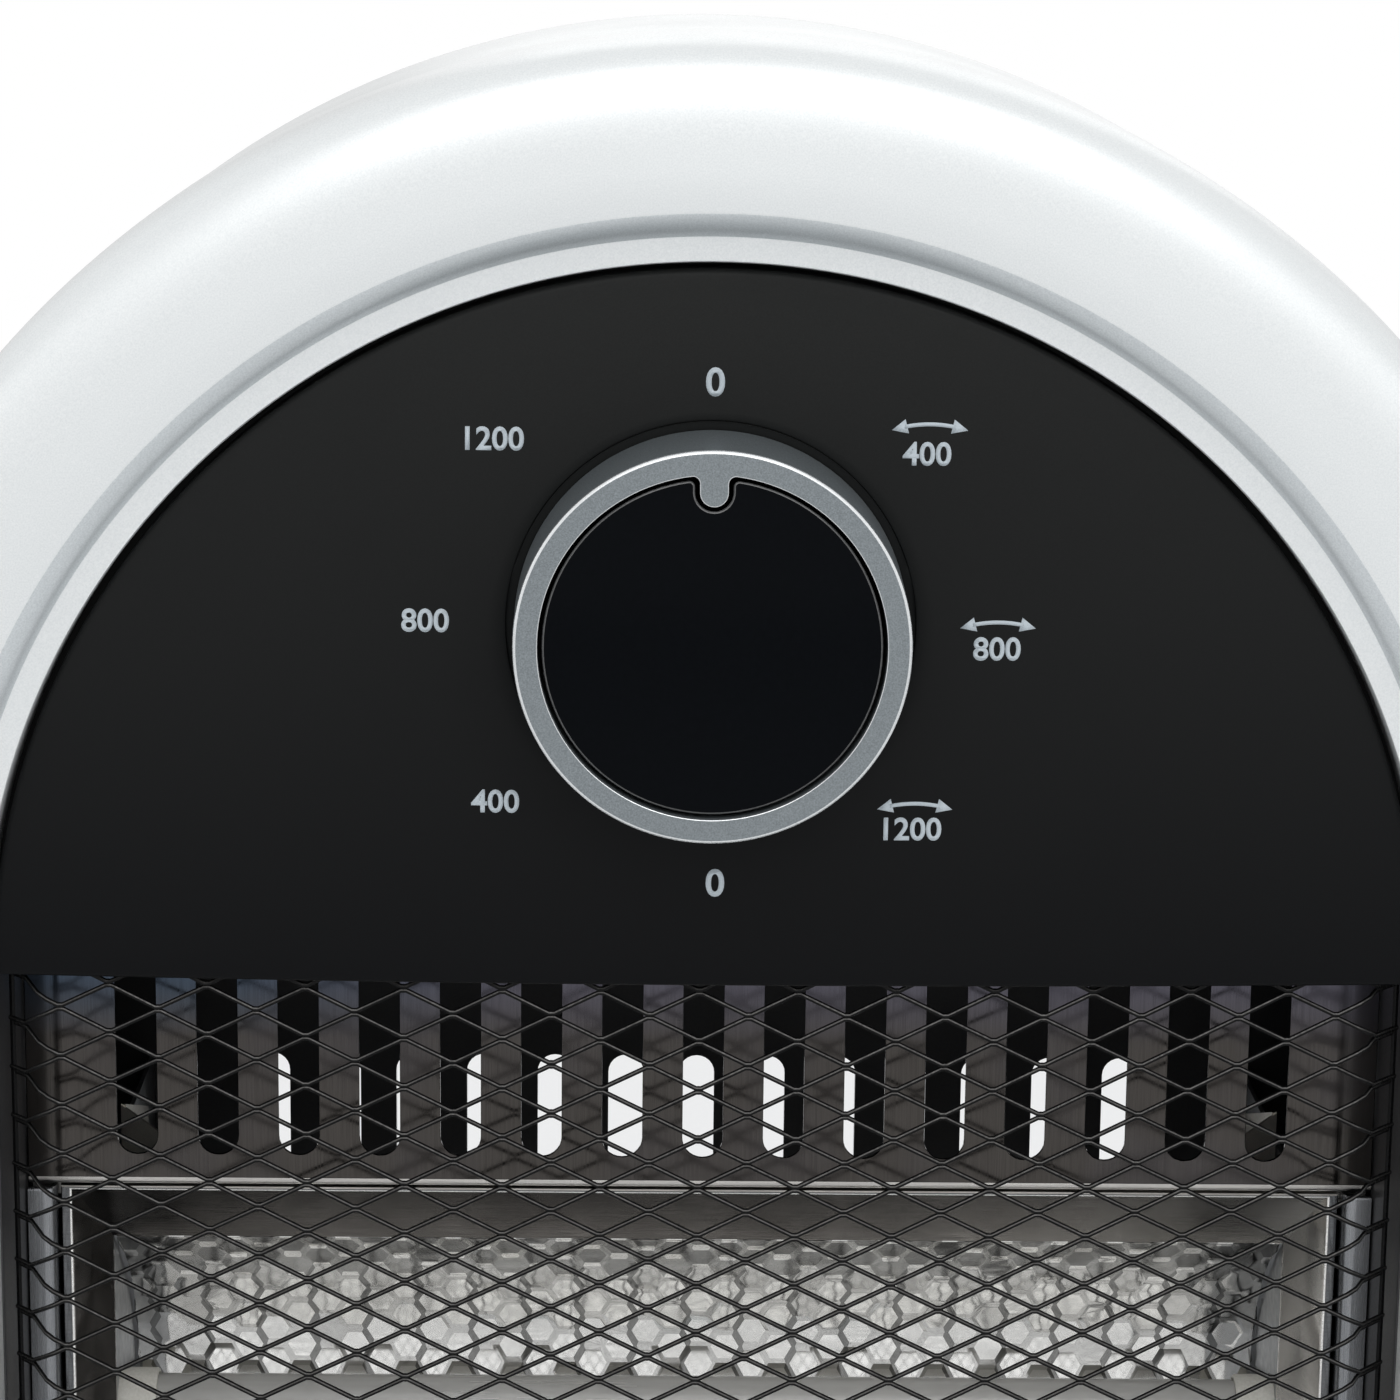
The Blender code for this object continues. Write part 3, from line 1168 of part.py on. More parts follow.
def drive_crank():
    rim = CRANK_THROW + CRANK_RIM
    profile = [(0.0, CRANK_Z + CRANK_THICK), (rim, CRANK_Z + CRANK_THICK), (rim, CRANK_Z),
               (CRANK_HUB, CRANK_Z), (CRANK_HUB, CRANK_Z - CRANK_HUB_LENGTH),
               (0.0, CRANK_Z - CRANK_HUB_LENGTH)]
    crank = turned("drive_crank", profile, STEPS_MEDIUM)
    place(crank, (0.0, MOTOR_Y, 0.0))
    pin = cylinder("crank_pin", CRANK_PIN, CRANK_Z + CRANK_THICK / 2, PIN_TOP_Z, STEPS_SMALL)
    unite(crank, place(pin, (0.0, MOTOR_Y + CRANK_THROW, 0.0)))
    finish(crank, PALE_PLASTIC)


# Base

def base_screw_places():
    for angle in BASE_SCREW_ANGLES:
        turn = math.radians(angle)
        yield BASE_SCREW_CIRCLE * math.cos(turn), BASE_SCREW_CIRCLE * math.sin(turn)


def base_cover():
    hole = SPIGOT_RADIUS + RUNNING_GAP
    span = BASE_RADIUS - BASE_SEAT_RADIUS
    profile = [(hole, BASE_HEIGHT)]
    curve = superellipse(span, BASE_HEIGHT - RIM_Z, BASE_SQUARENESS, 5)
    profile += [(BASE_SEAT_RADIUS + across, RIM_Z + up) for across, up in curve]
    made = turned("base_cover", profile, STEPS_LARGE)
    solidify(made, BASE_WALL)
    for i, (x, y) in enumerate(base_screw_places(), start=1):
        top = dome_height(BASE_SCREW_CIRCLE + BOSS_RADIUS) - BASE_WALL / 2
        boss = cylinder(f"base_boss_{i}", BOSS_RADIUS, INSIDE_Z, top, STEPS_SMALL)
        unite(made, place(boss, (x, y, 0.0)))
    boss = cylinder("gland_boss", GLAND_BOSS_RADIUS, -GLAND_BOSS_END, GLAND_BOSS_LENGTH - GLAND_BOSS_END,
                    STEPS_ROD)
    unite(made, place(boss, (0.0, 0.0, GLAND_HEIGHT), FACING_FRONT))
    hole = cylinder("gland_hole_cutter", GLAND_NECK + SEAT_GAP, -BASE_RADIUS - 0.01,
                    GLAND_BOSS_LENGTH + 0.01 - BASE_RADIUS, STEPS_ROD)
    cut(made, place(hole, (0.0, 0.0, GLAND_HEIGHT), FACING_FRONT))
    seat = cylinder("gland_seat_cutter", GLAND_FLANGE + SEAT_GAP, -BASE_RADIUS - 0.01,
                    GLAND_FLANGE_THICK + SEAT_GAP - BASE_RADIUS, STEPS_ROD)
    cut(made, place(seat, (0.0, 0.0, GLAND_HEIGHT), FACING_FRONT))
    for i, (x, y) in enumerate(base_screw_places(), start=1):
        pilot = cylinder(f"base_pilot_{i}", SCREW_SHANK + SEAT_GAP, 0.0,
                         PLATE_BOTTOM_Z + SCREW_LENGTH + SCREW_SHANK / 2, STEPS_SMALL)
        cut(made, place(pilot, (x, y, 0.0)))
    return finish(made, SILVER_PAINT)


def base_plate():
    radius = BASE_RADIUS - BASE_WALL * 1.3 - SEAT_GAP
    made = cylinder("base_plate", radius, PLATE_BOTTOM_Z, PLATE_TOP_Z, STEPS_LARGE, parts)
    holes = [(x, y, SCREW_SHANK + SEAT_GAP) for x, y in base_screw_places()]
    holes.append((0.0, TIP_SWITCH_Y, PLUNGER_RADIUS + SEAT_GAP))
    for i, (x, y, radius) in enumerate(holes, start=1):
        cutter = cylinder(f"plate_hole_{i}", radius, 0.0, INSIDE_Z + 0.002, STEPS_SMALL)
        cut(made, place(cutter, (x, y, 0.0)))
    return finish(made, DARK_PLASTIC)


def base_fixings():
    for i, (x, y) in enumerate(base_screw_places(), start=1):
        made = turned(f"base_screw_{i}", screw_profile(), STEPS_SCREW)
        finish(place(made, (x, y, PLATE_BOTTOM_Z - SEAT_GAP)), ZINC_STEEL)
    profile = [(0.0, FOOT_HEIGHT), (FOOT_RADIUS, FOOT_HEIGHT), (FOOT_RADIUS, 0.001),
               (FOOT_RADIUS - 0.001, 0.0), (0.0, 0.0)]
    for i in range(4):
        angle = math.radians(45.0 + 90.0 * i)
        foot = turned(f"rubber_foot_{i + 1}", profile, STEPS_SMALL)
        spot = (FOOT_CIRCLE * math.cos(angle), FOOT_CIRCLE * math.sin(angle), 0.0)
        finish(place(foot, spot), RUBBER)


def tip_switch():
    width, length, height = TIP_SWITCH_SIZE
    made = box("tip_switch", (-width / 2, TIP_SWITCH_Y - length / 2, INSIDE_Z),
               (width / 2, TIP_SWITCH_Y + length / 2, INSIDE_Z + height), parts)
    cavity = cylinder("tip_cavity_cutter", PLUNGER_COLLAR + RUNNING_GAP, 0.0,
                      PLUNGER_LENGTH + 0.003, STEPS_SMALL)
    cut(made, place(cavity, (0.0, TIP_SWITCH_Y, 0.0)))
    finish(made, DARK_PLASTIC)


def tip_plunger():
    collar = PLUNGER_LENGTH - PLUNGER_COLLAR_HEIGHT
    profile = [(0.0, PLUNGER_LENGTH), (PLUNGER_COLLAR, PLUNGER_LENGTH), (PLUNGER_COLLAR, collar),
               (PLUNGER_RADIUS, collar), (PLUNGER_RADIUS, 0.0015), (PLUNGER_RADIUS * 0.6, 0.0),
               (0.0, 0.0)]
    plunger = turned("tip_plunger", profile, STEPS_SMALL)
    finish(place(plunger, (0.0, TIP_SWITCH_Y, 0.0)), PALE_PLASTIC)


def terminal_block():
    width, length, height = TERMINAL_SIZE
    x, y = TERMINAL_PLACE
    made = box("terminal_block", (x - width / 2, y - length / 2, INSIDE_Z),
               (x + width / 2, y + length / 2, INSIDE_Z + height), parts)
    bevel(made, 0.001)
    finish(made, PALE_PLASTIC)


def cord_gland():
    back = BASE_RADIUS
    flange = back - GLAND_FLANGE_THICK
    inner = GLAND_BOSS_END - GLAND_BOSS_LENGTH - GLAND_TAIL
    profile = [(GLAND_BORE, -inner), (GLAND_NECK, -inner), (GLAND_NECK, -flange),
               (GLAND_FLANGE, -flange), (GLAND_FLANGE, -back + 0.0006), (GLAND_FLANGE - 0.0006, -back),
               (GLAND_BORE, -back)]
    gland = turned("cord_gland", profile, STEPS_ROD, True)
    finish(place(gland, (0.0, 0.0, GLAND_HEIGHT), FACING_FRONT), DARK_PLASTIC)


# Joints

def pivot(name, location, parent=None):
    """An empty on a joint's axis, for what moves there."""
    made = bpy.data.objects.new(name, None)
    made.empty_display_size = KNOB_RADIUS
    made.location = location
    parts.objects.link(made)
    if parent:
        hold(made, parent)
    return made


def hold(made, parent):
    """Parents an object where it stands."""
    bpy.context.view_layer.update()
    made.parent = parent
    made.matrix_parent_inverse = parent.matrix_world.inverted()


def carry(parent, build):
    """Runs the functions that build a moving piece, and hangs all that they make on its empty."""
    before = set(bpy.data.objects)
    for make in build:
        make()
    for made in sorted(set(bpy.data.objects) - before, key=lambda item: item.name):
        hold(made, parent)


head_swivel = pivot("head_swivel", (0.0, 0.0, NECK_Z))
selector_knob = pivot("selector_knob", in_head(0.0, 0.0, KNOB_HEIGHT), head_swivel)
crank_turn = pivot("crank_turn", (0.0, MOTOR_Y, CRANK_Z))
plunger_slide = pivot("plunger_slide", (0.0, TIP_SWITCH_Y, 0.0))

carry(head_swivel, (front_bezel, rear_shell, rear_screws, handle_cup, control_fascia, rotary_switch,
                    guard_mesh, window_surround, slotted_liner, heat_baffle, reflector_frame,
                    reflector_panel, left_side_parts, right_side_parts, heating_elements,
                    thermal_cutout, neck_parts, swivel_arm))
carry(selector_knob, (knob,))
carry(crank_turn, (drive_crank,))
carry(plunger_slide, (tip_plunger,))
base_cover()
base_plate()
base_fixings()
thrust_washer()
oscillation_motor()
tip_switch()
terminal_block()
cord_gland()
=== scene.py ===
"""Dressed model of the oscillating quartz heater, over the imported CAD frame.

Lengths in the piece functions are millimetres. In the head they are given as across, back from
the control panel's plane, and up from the centre of the arched top.
"""
import bisect
from math import asin, atan, atan2, cos, degrees, hypot, pi, radians, sin, sqrt, tau

import bmesh
import bpy
from mathutils import Matrix, Vector

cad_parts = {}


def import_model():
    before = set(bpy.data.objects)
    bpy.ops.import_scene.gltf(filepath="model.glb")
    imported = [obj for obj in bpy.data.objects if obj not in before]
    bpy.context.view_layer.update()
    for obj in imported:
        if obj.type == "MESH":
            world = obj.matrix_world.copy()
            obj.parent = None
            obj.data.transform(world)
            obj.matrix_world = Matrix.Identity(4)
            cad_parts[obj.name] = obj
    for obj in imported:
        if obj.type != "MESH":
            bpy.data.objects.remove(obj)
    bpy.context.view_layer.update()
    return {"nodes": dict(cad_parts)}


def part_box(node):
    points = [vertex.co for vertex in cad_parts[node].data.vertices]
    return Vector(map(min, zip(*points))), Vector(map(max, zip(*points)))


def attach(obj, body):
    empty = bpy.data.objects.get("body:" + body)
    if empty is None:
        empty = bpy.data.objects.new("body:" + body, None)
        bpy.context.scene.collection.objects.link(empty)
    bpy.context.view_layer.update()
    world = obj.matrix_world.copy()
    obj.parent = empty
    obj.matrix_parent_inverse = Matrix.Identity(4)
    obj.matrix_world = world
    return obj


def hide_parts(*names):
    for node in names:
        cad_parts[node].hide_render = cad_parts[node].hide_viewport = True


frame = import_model()

MM = 0.001
BEZEL_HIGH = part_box("front_bezel")[1]
CENTRE_Z = BEZEL_HIGH.z - BEZEL_HIGH.x
# How far the panel's middle stands out, and how far its edge falls back from there
BULGE, BOW = 2.0, 3.5
FRONT_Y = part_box("control_fascia")[0].y + BULGE * MM
SIDES = ((-1, "left"), (1, "right"))

# The window's half width, its lower corners' radius and how far it reaches below the arch's centre
WINDOW, CORNER, DROP = 116.05, 10.0, 278.0
ARCH_STEPS, CORNER_STEPS = 144, 14
# Half widths of the panel and the liner, and the edge of the well that the knob stands in
PANEL, LINER, WELL = 114.85, 115.3, 32.9
KNOB_UP, GRIP_UP = 58.8, 75.0
SHELL_BACK, SHELL_WALL = 110.7, 2.2
VENTS, VENT_PITCH, VENT_WIDTH, VENT_TOP, VENT_BOTTOM = 13, 13.4, 6.65, -45.1, -110.0
SLOTS, SLOT_PITCH, SLOT_SHIFT, SLOT_WIDTH, SLOT_TOP, SLOT_BOTTOM = 15, 13.81, 0.15, 6.9, 9.0, -41.0
MIRROR_SIDE, MIRROR_TOP, MIRROR_BOTTOM = 102.0, -59.3, -264.8
TROUGH_PITCH = (MIRROR_TOP - MIRROR_BOTTOM) / 3
TROUGH_DEPTH, TUBE_DEPTH = 74.0, 54.0
BASE_EDGE, BASE_SEAT, BASE_TOP, BASE_WALL, PLATE_LOW = 131.0, 36.0, 44.0, 2.2, 4.5
FOOT_RING, SCREW_RING, GLAND_UP = 108.0, 88.0, 16.5


# Places

def at(across, depth, up):
    """World place of a point in the head."""
    return Vector((across * MM, FRONT_Y + depth * MM, CENTRE_Z + up * MM))


def world(x, y, z):
    """World place of a point given in millimetres from the middle of the floor."""
    return Vector((x * MM, y * MM, z * MM))


def dome(across, up):
    """Depth of the control panel's bulged front."""
    return BOW * (across * across + up * up) / (PANEL * PANEL) - BULGE


def arc(centre, radius, start, end, steps):
    """Points on part of a circle, in degrees."""
    angles = [radians(start + (end - start) * i / steps) for i in range(steps + 1)]
    return [(centre[0] + radius * cos(angle), centre[1] + radius * sin(angle)) for angle in angles]


def circle(radius, steps, centre=(0.0, 0.0)):
    """A closed ring of points."""
    return arc(centre, radius, 0.0, 360.0, steps)[:-1]


def lower_corners(offset):
    """The head's two lower corners, that far outside the window's edge."""
    points = []
    for side, start in ((-1, 180.0), (1, 270.0)):
        centre = (side * (WINDOW - CORNER), CORNER - DROP)
        points += arc(centre, CORNER + offset, start, start + 90.0, CORNER_STEPS)
    return points


def outline(offset):
    """The head's closed outline."""
    return arc((0.0, 0.0), WINDOW + offset, 0.0, 180.0, ARCH_STEPS) + lower_corners(offset)


def lower_line(offset):
    """The same outline below the arch only, as an open line."""
    return [(-WINDOW - offset, -0.3)] + lower_corners(offset) + [(WINDOW + offset, -0.3)]


def slot_line(x, top, bottom, width, steps=12):
    """An upright slot with round ends."""
    half = width / 2
    return arc((x, top - half), half, 0.0, 180.0, steps) + arc((x, bottom + half), half, 180.0, 360.0, steps)


def rounded_box(half_width, half_height, corner, steps=10, centre=(0.0, 0.0)):
    """A closed outline with round corners."""
    points = []
    for i, (right, top) in enumerate(((1, 1), (-1, 1), (-1, -1), (1, -1))):
        middle = (centre[0] + right * (half_width - corner), centre[1] + top * (half_height - corner))
        points += arc(middle, corner, 90.0 * i, 90.0 * (i + 1), steps)
    return points


def squared(width, height, power, steps):
    """A quarter curve from (0, height) to (width, 0), squarer than an ellipse."""
    angles = [pi / 2 * i / steps for i in range(steps + 1)]
    return [(width * sin(a) ** (2 / power), height * max(cos(a), 0.0) ** (2 / power)) for a in angles]


# Surfaces

FLAKE_SIZE = 0.45
# How bright a tint's second colour, worn patches and flakes are, compared with the first colour
TINT_DARK, WORN, GLINT = 0.78, 0.86, 1.35


def fill(tree, socket, value):
    """Links an input to a socket, or sets it."""
    if isinstance(value, bpy.types.NodeSocket):
        tree.links.new(value, socket)
    else:
        socket.default_value = value


def node(tree, kind, **inputs):
    """A shader node with some of its inputs set or linked."""
    made = tree.nodes.new(kind)
    for key, value in inputs.items():
        fill(tree, made.inputs[key.replace("_", " ")], value)
    return made


def spread(tree, value, low, high, to_low, to_high):
    """Maps one range to another, clamped."""
    made = node(tree, "ShaderNodeMapRange", Value=value, From_Min=low, From_Max=high, To_Min=to_low,
                To_Max=to_high)
    return made.outputs["Result"]


def blended(tree, share, first, second):
    """A colour between two colours or sockets, by a socket's share."""
    made = tree.nodes.new("ShaderNodeMix")
    made.data_type = "RGBA"
    for index, value in ((0, share), (6, first), (7, second)):
        fill(tree, made.inputs[index], (*value, 1.0) if isinstance(value, tuple) else value)
    return made.outputs[2]


def joined(tree, kind, *sources, operation=None):
    """The output of a node whose first inputs are linked to sockets."""
    made = tree.nodes.new(kind)
    if operation:
        made.operation = operation
    for index, source in enumerate(sources):
        tree.links.new(source, made.inputs[index])
    return made.outputs[0]


def grain_of(tree, coordinates, size, stretch=(1.0, 1.0, 1.0), detail=3.0):
    """Noise whose features are that many millimetres across, stretched along some axes."""
    scale = tuple(1.0 / (size * MM * pull) for pull in stretch)
    mapping = node(tree, "ShaderNodeMapping", Vector=coordinates, Scale=scale)
    noise = node(tree, "ShaderNodeTexNoise", Vector=mapping.outputs["Vector"], Scale=1.0, Detail=detail,
                 Roughness=0.55)
    return noise.outputs["Fac"]


def surface(name, colour, second, size, rough, metallic=0.0, stretch=(1.0, 1.0, 1.0), depth=0.0,
            rough_spread=0.06, specular=0.5, coat=0.0, wear=0.25, wear_size=40.0, tints=(), flakes=0.0,
            transmission=0.0):
    """A material whose colour, gloss and relief follow one grain, with larger patches of handling wear."""
    made = bpy.data.materials.new(name)
    made.use_nodes = True
    tree = made.node_tree
    shader = tree.nodes["Principled BSDF"]
    place = node(tree, "ShaderNodeTexCoord").outputs["Object"]
    grain = grain_of(tree, place, size, stretch)
    patches = grain_of(tree, place, wear_size, detail=4.0)
    share = spread(tree, grain, 0.32, 0.68, 0.0, 1.0)
    base = blended(tree, share, colour, second)
    # Tints shift the colour towards another colour along one axis of the object; the materials here use them
    # for painted light, shade and reflection.
    for axis, low, high, other in tints:
        run = node(tree, "ShaderNodeSeparateXYZ", Vector=place).outputs["XYZ".index(axis)]
        varied = blended(tree, share, other, tuple(part * TINT_DARK for part in other))
        base = blended(tree, spread(tree, run, low, high, 0.0, 1.0), base, varied)
    if flakes:
        cells = node(tree, "ShaderNodeTexVoronoi", Vector=place, Scale=1.0 / (FLAKE_SIZE * MM))
        glint = spread(tree, cells.outputs["Color"], 0.80, 1.0, 0.0, flakes)
        base = blended(tree, glint, base, tuple(min(1.0, part * GLINT) for part in colour))
    worn = tuple(part * WORN for part in colour)
    base = blended(tree, spread(tree, patches, 0.45, 0.75, 0.0, wear), base, worn)
    tree.links.new(base, shader.inputs["Base Color"])
    gloss = spread(tree, grain, 0.3, 0.7, rough - rough_spread, rough + rough_spread)
    handled = spread(tree, patches, 0.4, 0.7, -0.03, 0.05)
    roughness = joined(tree, "ShaderNodeMath", gloss, handled, operation="ADD")
    tree.links.new(roughness, shader.inputs["Roughness"])
    for key, value in (("Metallic", metallic), ("Specular IOR Level", specular), ("Coat Weight", coat),
                       ("Coat Roughness", 0.12), ("Transmission Weight", transmission)):
        shader.inputs[key].default_value = value
    if depth:
        relief = node(tree, "ShaderNodeBump", Height=grain, Strength=1.0, Distance=depth * MM)
        tree.links.new(relief.outputs["Normal"], shader.inputs["Normal"])
    return made


# Silver paint of the housing. Its tint is painted shade: darker from 1 mm to 9 mm behind the panel's front
# and beyond, for the band's rolled-back outer edge that faces away from the light; the rear shell takes the
# same darker silver.
SILVER = surface(
    "silver_paint", (0.84, 0.86, 0.86), (0.75, 0.775, 0.78), 0.28, 0.40, 0.55, depth=0.004, coat=0.1,
    flakes=0.15, wear=0.06, tints=(("Y", FRONT_Y + 1.0 * MM, FRONT_Y + 9.0 * MM, (0.70, 0.715, 0.715)),))
# Darker, bluer copy of the same silver paint for the bezel's step: painted shade in the recess behind the
# ridge.
STEP_SILVER_SHADED = surface(
    "step_silver_painted_shade", (0.69, 0.725, 0.74), (0.58, 0.615, 0.63), 0.28, 0.40, 0.55, depth=0.004, coat=0.1,
    flakes=0.15, wear=0.06)
# Satin black panel. Its tint lightens it towards the top of the arch: painted sheen, as if lit from above.
PANEL_BLACK = surface(
    "panel_black", (0.0014, 0.0016, 0.0022), (0.0026, 0.0029, 0.0036), 0.25, 0.42, depth=0.005,
    specular=0.10, wear=0.10, tints=(("Z", CENTRE_Z, CENTRE_Z + 150.0 * MM, (0.024, 0.025, 0.024)),))
KNOB_SILVER = surface(
    "knob_silver", (0.27, 0.300, 0.315), (0.165, 0.186, 0.198), 0.24, 0.36, 0.5, depth=0.004, coat=0.1,
    flakes=0.25, wear=0.12)
# Much lighter copy of the knob's silver for the rim's rounded edges: painted highlight.
KNOB_EDGE_HIGHLIGHT = surface(
    "knob_edge_painted_highlight", (0.80, 0.82, 0.83), (0.66, 0.68, 0.69), 0.24, 0.26, 0.8, depth=0.002, wear=0.2,
    wear_size=12.0)
CAP_BLACK = surface(
    "cap_black", (0.0010, 0.0016, 0.0026), (0.0015, 0.0022, 0.0034), 0.6, 0.14, specular=0.05, depth=0.001,
    rough_spread=0.02, wear=0.1)
# Grey for the black cap's rounded rim: a painted highlight line.
CAP_EDGE_HIGHLIGHT = surface(
    "cap_edge_painted_highlight", (0.12, 0.12, 0.12), (0.08, 0.08, 0.08), 0.4, 0.2, specular=0.5, depth=0.001, wear=0.2,
    wear_size=9.0)
GUARD_PAINT = surface(
    "guard_enamel", (0.0036, 0.0036, 0.0038), (0.0064, 0.0064, 0.0066), 0.25, 0.30, specular=0.11,
    depth=0.008, wear=0.2)
# Lighter metallic copy of the guard's black for each strand's front face: painted highlight along the
# strands.
GUARD_FACE_HIGHLIGHT = surface(
    "guard_edge", (0.074, 0.072, 0.069), (0.028, 0.027, 0.026), 0.5, 0.28, 0.6, depth=0.006, wear=0.3,
    wear_size=6.0)
# Polished liner steel. Its dark colour and both tints are painted reflection: bluish towards the left side,
# and darker and warmer towards the bottom.
LINER_STEEL = surface(
    "liner_steel", (0.102, 0.098, 0.122), (0.078, 0.074, 0.093), 0.16, 0.10, 1.0, stretch=(1.0, 1.0, 60.0),
    depth=0.0008, rough_spread=0.03, wear=0.2, wear_size=24.0,
    tints=(("X", -0.030, -0.080, (0.052, 0.072, 0.102)),
           ("Z", CENTRE_Z - 9.0 * MM, CENTRE_Z - 20.0 * MM, (0.072, 0.066, 0.061))))
# The liner's folded lower edge: the same sheet painted much lighter than the liner, a painted highlight line
# along the fold.
FOLD_STEEL_HIGHLIGHT = surface(
    "fold_steel_painted_highlight", (0.70, 0.68, 0.65), (0.58, 0.56, 0.54), 0.16, 0.30, 1.0, stretch=(60.0, 1.0, 1.0),
    depth=0.003, wear=0.2, wear_size=24.0)
# Brushed frame steel. Its tints are painted light and shade: lighter towards the right, a dark strip at the
# far left, a painted highlight line along the rolled top edge, and a painted dark line on the flange's front
# face.
FRAME_STEEL = surface(
    "frame_steel", (0.40, 0.380, 0.362), (0.24, 0.228, 0.218), 0.20, 0.15, 1.0, stretch=(40.0, 1.0, 1.0),
    depth=0.003, wear=0.2, wear_size=24.0,
    tints=(("X", 0.020, 0.095, (0.64, 0.62, 0.59)),
           ("X", -0.1005, -0.1025, (0.062, 0.058, 0.055)),
           ("Y", FRONT_Y + 36.9 * MM, FRONT_Y + 36.45 * MM, (0.95, 0.94, 0.92)),
           ("Y", FRONT_Y + 36.275 * MM, FRONT_Y + 36.23 * MM, (0.13, 0.135, 0.142))))
RAIL_STEEL = surface(
    "rail_steel", (0.31, 0.32, 0.335), (0.22, 0.228, 0.242), 0.16, 0.26, 1.0, stretch=(1.0, 1.0, 60.0),
    depth=0.003, wear=0.2)
# Side bracket steel, set light to make up for the shade the brackets stand in behind the end slots: painted
# light.
SIDE_STEEL = surface(
    "side_steel", (0.72, 0.69, 0.64), (0.60, 0.575, 0.53), 0.16, 0.36, 1.0, stretch=(1.0, 60.0, 1.0),
    depth=0.003, wear=0.2)


def mirror(name, level):
    """One painted shade of the embossed mirror sheet: the same polished steel set lighter or darker for the
    light and shade it reflects.
    """
    colour = (level, level * 0.992, level * 0.965)
    second = (level * 0.90, level * 0.893, level * 0.868)
    return surface(name, colour, second, 1.6, 0.12, 1.0, rough_spread=0.03, wear=0.12, wear_size=30.0)


# Lit and shaded copies of the mirror steel, brightest first, then a dark one for bevels: painted reflection,
# light and shade.
MIRROR_PAINTED_SHADES = (mirror("mirror_bright", 0.92), mirror("mirror_pale", 0.66), mirror("mirror_middle", 0.40),
           mirror("mirror_dim", 0.21), mirror("mirror_shaded", 0.11), mirror("bevel_dark", 0.26))

ZINC = surface("zinc_plate", (0.42, 0.43, 0.44), (0.33, 0.34, 0.36), 2.2, 0.38, 1.0, depth=0.004, wear=0.3)
QUARTZ = surface(
    "milky_quartz", (0.80, 0.79, 0.76), (0.74, 0.73, 0.70), 1.2, 0.22, stretch=(30.0, 1.0, 1.0),
    depth=0.004, wear=0.15, transmission=0.45)
COIL_METAL = surface("coil_alloy", (0.17, 0.155, 0.14), (0.11, 0.10, 0.095), 0.4, 0.5, 1.0, depth=0.002)
CERAMIC = surface(
    "ceramic", (0.72, 0.70, 0.64), (0.62, 0.60, 0.54), 0.5, 0.6, depth=0.012, wear=0.3, wear_size=6.0)
DARK_PLASTIC = surface(
    "dark_plastic", (0.020, 0.020, 0.022), (0.030, 0.030, 0.032), 0.5, 0.48, depth=0.012, wear=0.15)
PALE_PLASTIC = surface("pale_plastic", (0.60, 0.60, 0.56), (0.52, 0.52, 0.49), 0.5, 0.46, depth=0.010)
RUBBER = surface(
    "rubber", (0.018, 0.018, 0.018), (0.030, 0.030, 0.030), 0.4, 0.78, depth=0.015, wear=0.3, wear_size=8.0)
PRINT = surface("dial_print", (0.56, 0.62, 0.66), (0.49, 0.55, 0.59), 0.12, 0.55, wear=0.15, wear_size=5.0)


# Mesh tools

def linked(name, data):
    """A new object in the scene."""
    made = bpy.data.objects.new(name, data)
    bpy.context.scene.collection.objects.link(made)
    return made


def piece(name, shape, material, body, stands_for=None, angle=35.0):
    """Turns a finished bmesh, in world metres, into a piece that rides on a body."""
    mesh = bpy.data.meshes.new(name)
    shape.to_mesh(mesh)
    shape.free()
    for part in material if isinstance(material, tuple) else (material,):
        mesh.materials.append(part)
    mesh.shade_smooth()
    mesh.set_sharp_from_angle(angle=radians(angle))
    made = linked(name, mesh)
    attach(made, body)
    if stands_for:
        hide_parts(stands_for)
    return made


def rounded(made, width):
    """Rounds the sharp edges of a piece."""
    step = made.modifiers.new("edges", "BEVEL")
    step.width = width * MM
    step.segments = 2
    step.limit_method = "ANGLE"
    step.angle_limit = radians(50.0)
    step.harden_normals = True
    step.miter_outer = "MITER_ARC"


def outward(shape):
    """Turns a shape's faces outwards."""
    bmesh.ops.recalc_face_normals(shape, faces=shape.faces)


def welded(shape, gap=0.002):
    """Joins the points that lie together, closer than a gap in millimetres."""
    bmesh.ops.remove_doubles(shape, verts=shape.verts, dist=gap * MM)


def rows_through(shape, rings, skin=lambda k, i: 0, closed=True, looped=False, ends=False):
    """Rows of quads through rings of as many points; skin picks the material of quad i in row k."""
    rows = [[shape.verts.new(point) for point in ring] for ring in rings]
    count = len(rows[0])
    for k, (near, far) in enumerate(zip(rows, rows[1:] + (rows[:1] if looped else []))):
        for i in range(count if closed else count - 1):
            j = (i + 1) % count
            shape.faces.new((near[i], near[j], far[j], far[i])).material_index = skin(k, i)
    if ends:
        shape.faces.new(rows[0])
        shape.faces.new(rows[-1])
    return rows


def loft(rings, closed=True, looped=False, ends=False, skin=lambda k, i: 0):
    """A surface through rings of points."""
    shape = bmesh.new()
    rows_through(shape, rings, skin, closed, looped, ends)
    welded(shape)
    outward(shape)
    return shape


def head_sweep(section, line=outline):
    """Rings of a closed (outward, depth) section carried round the head."""
    return [[at(x, depth, up) for x, up in line(offset)] for offset, depth in section]


def turned(profile, to_world, steps=64, looped=False):
    """A lathed surface from (radius, height) points."""
    return loft([[to_world(x, y, height) for x, y in circle(radius, steps)] for radius, height in profile],
                looped=looped)


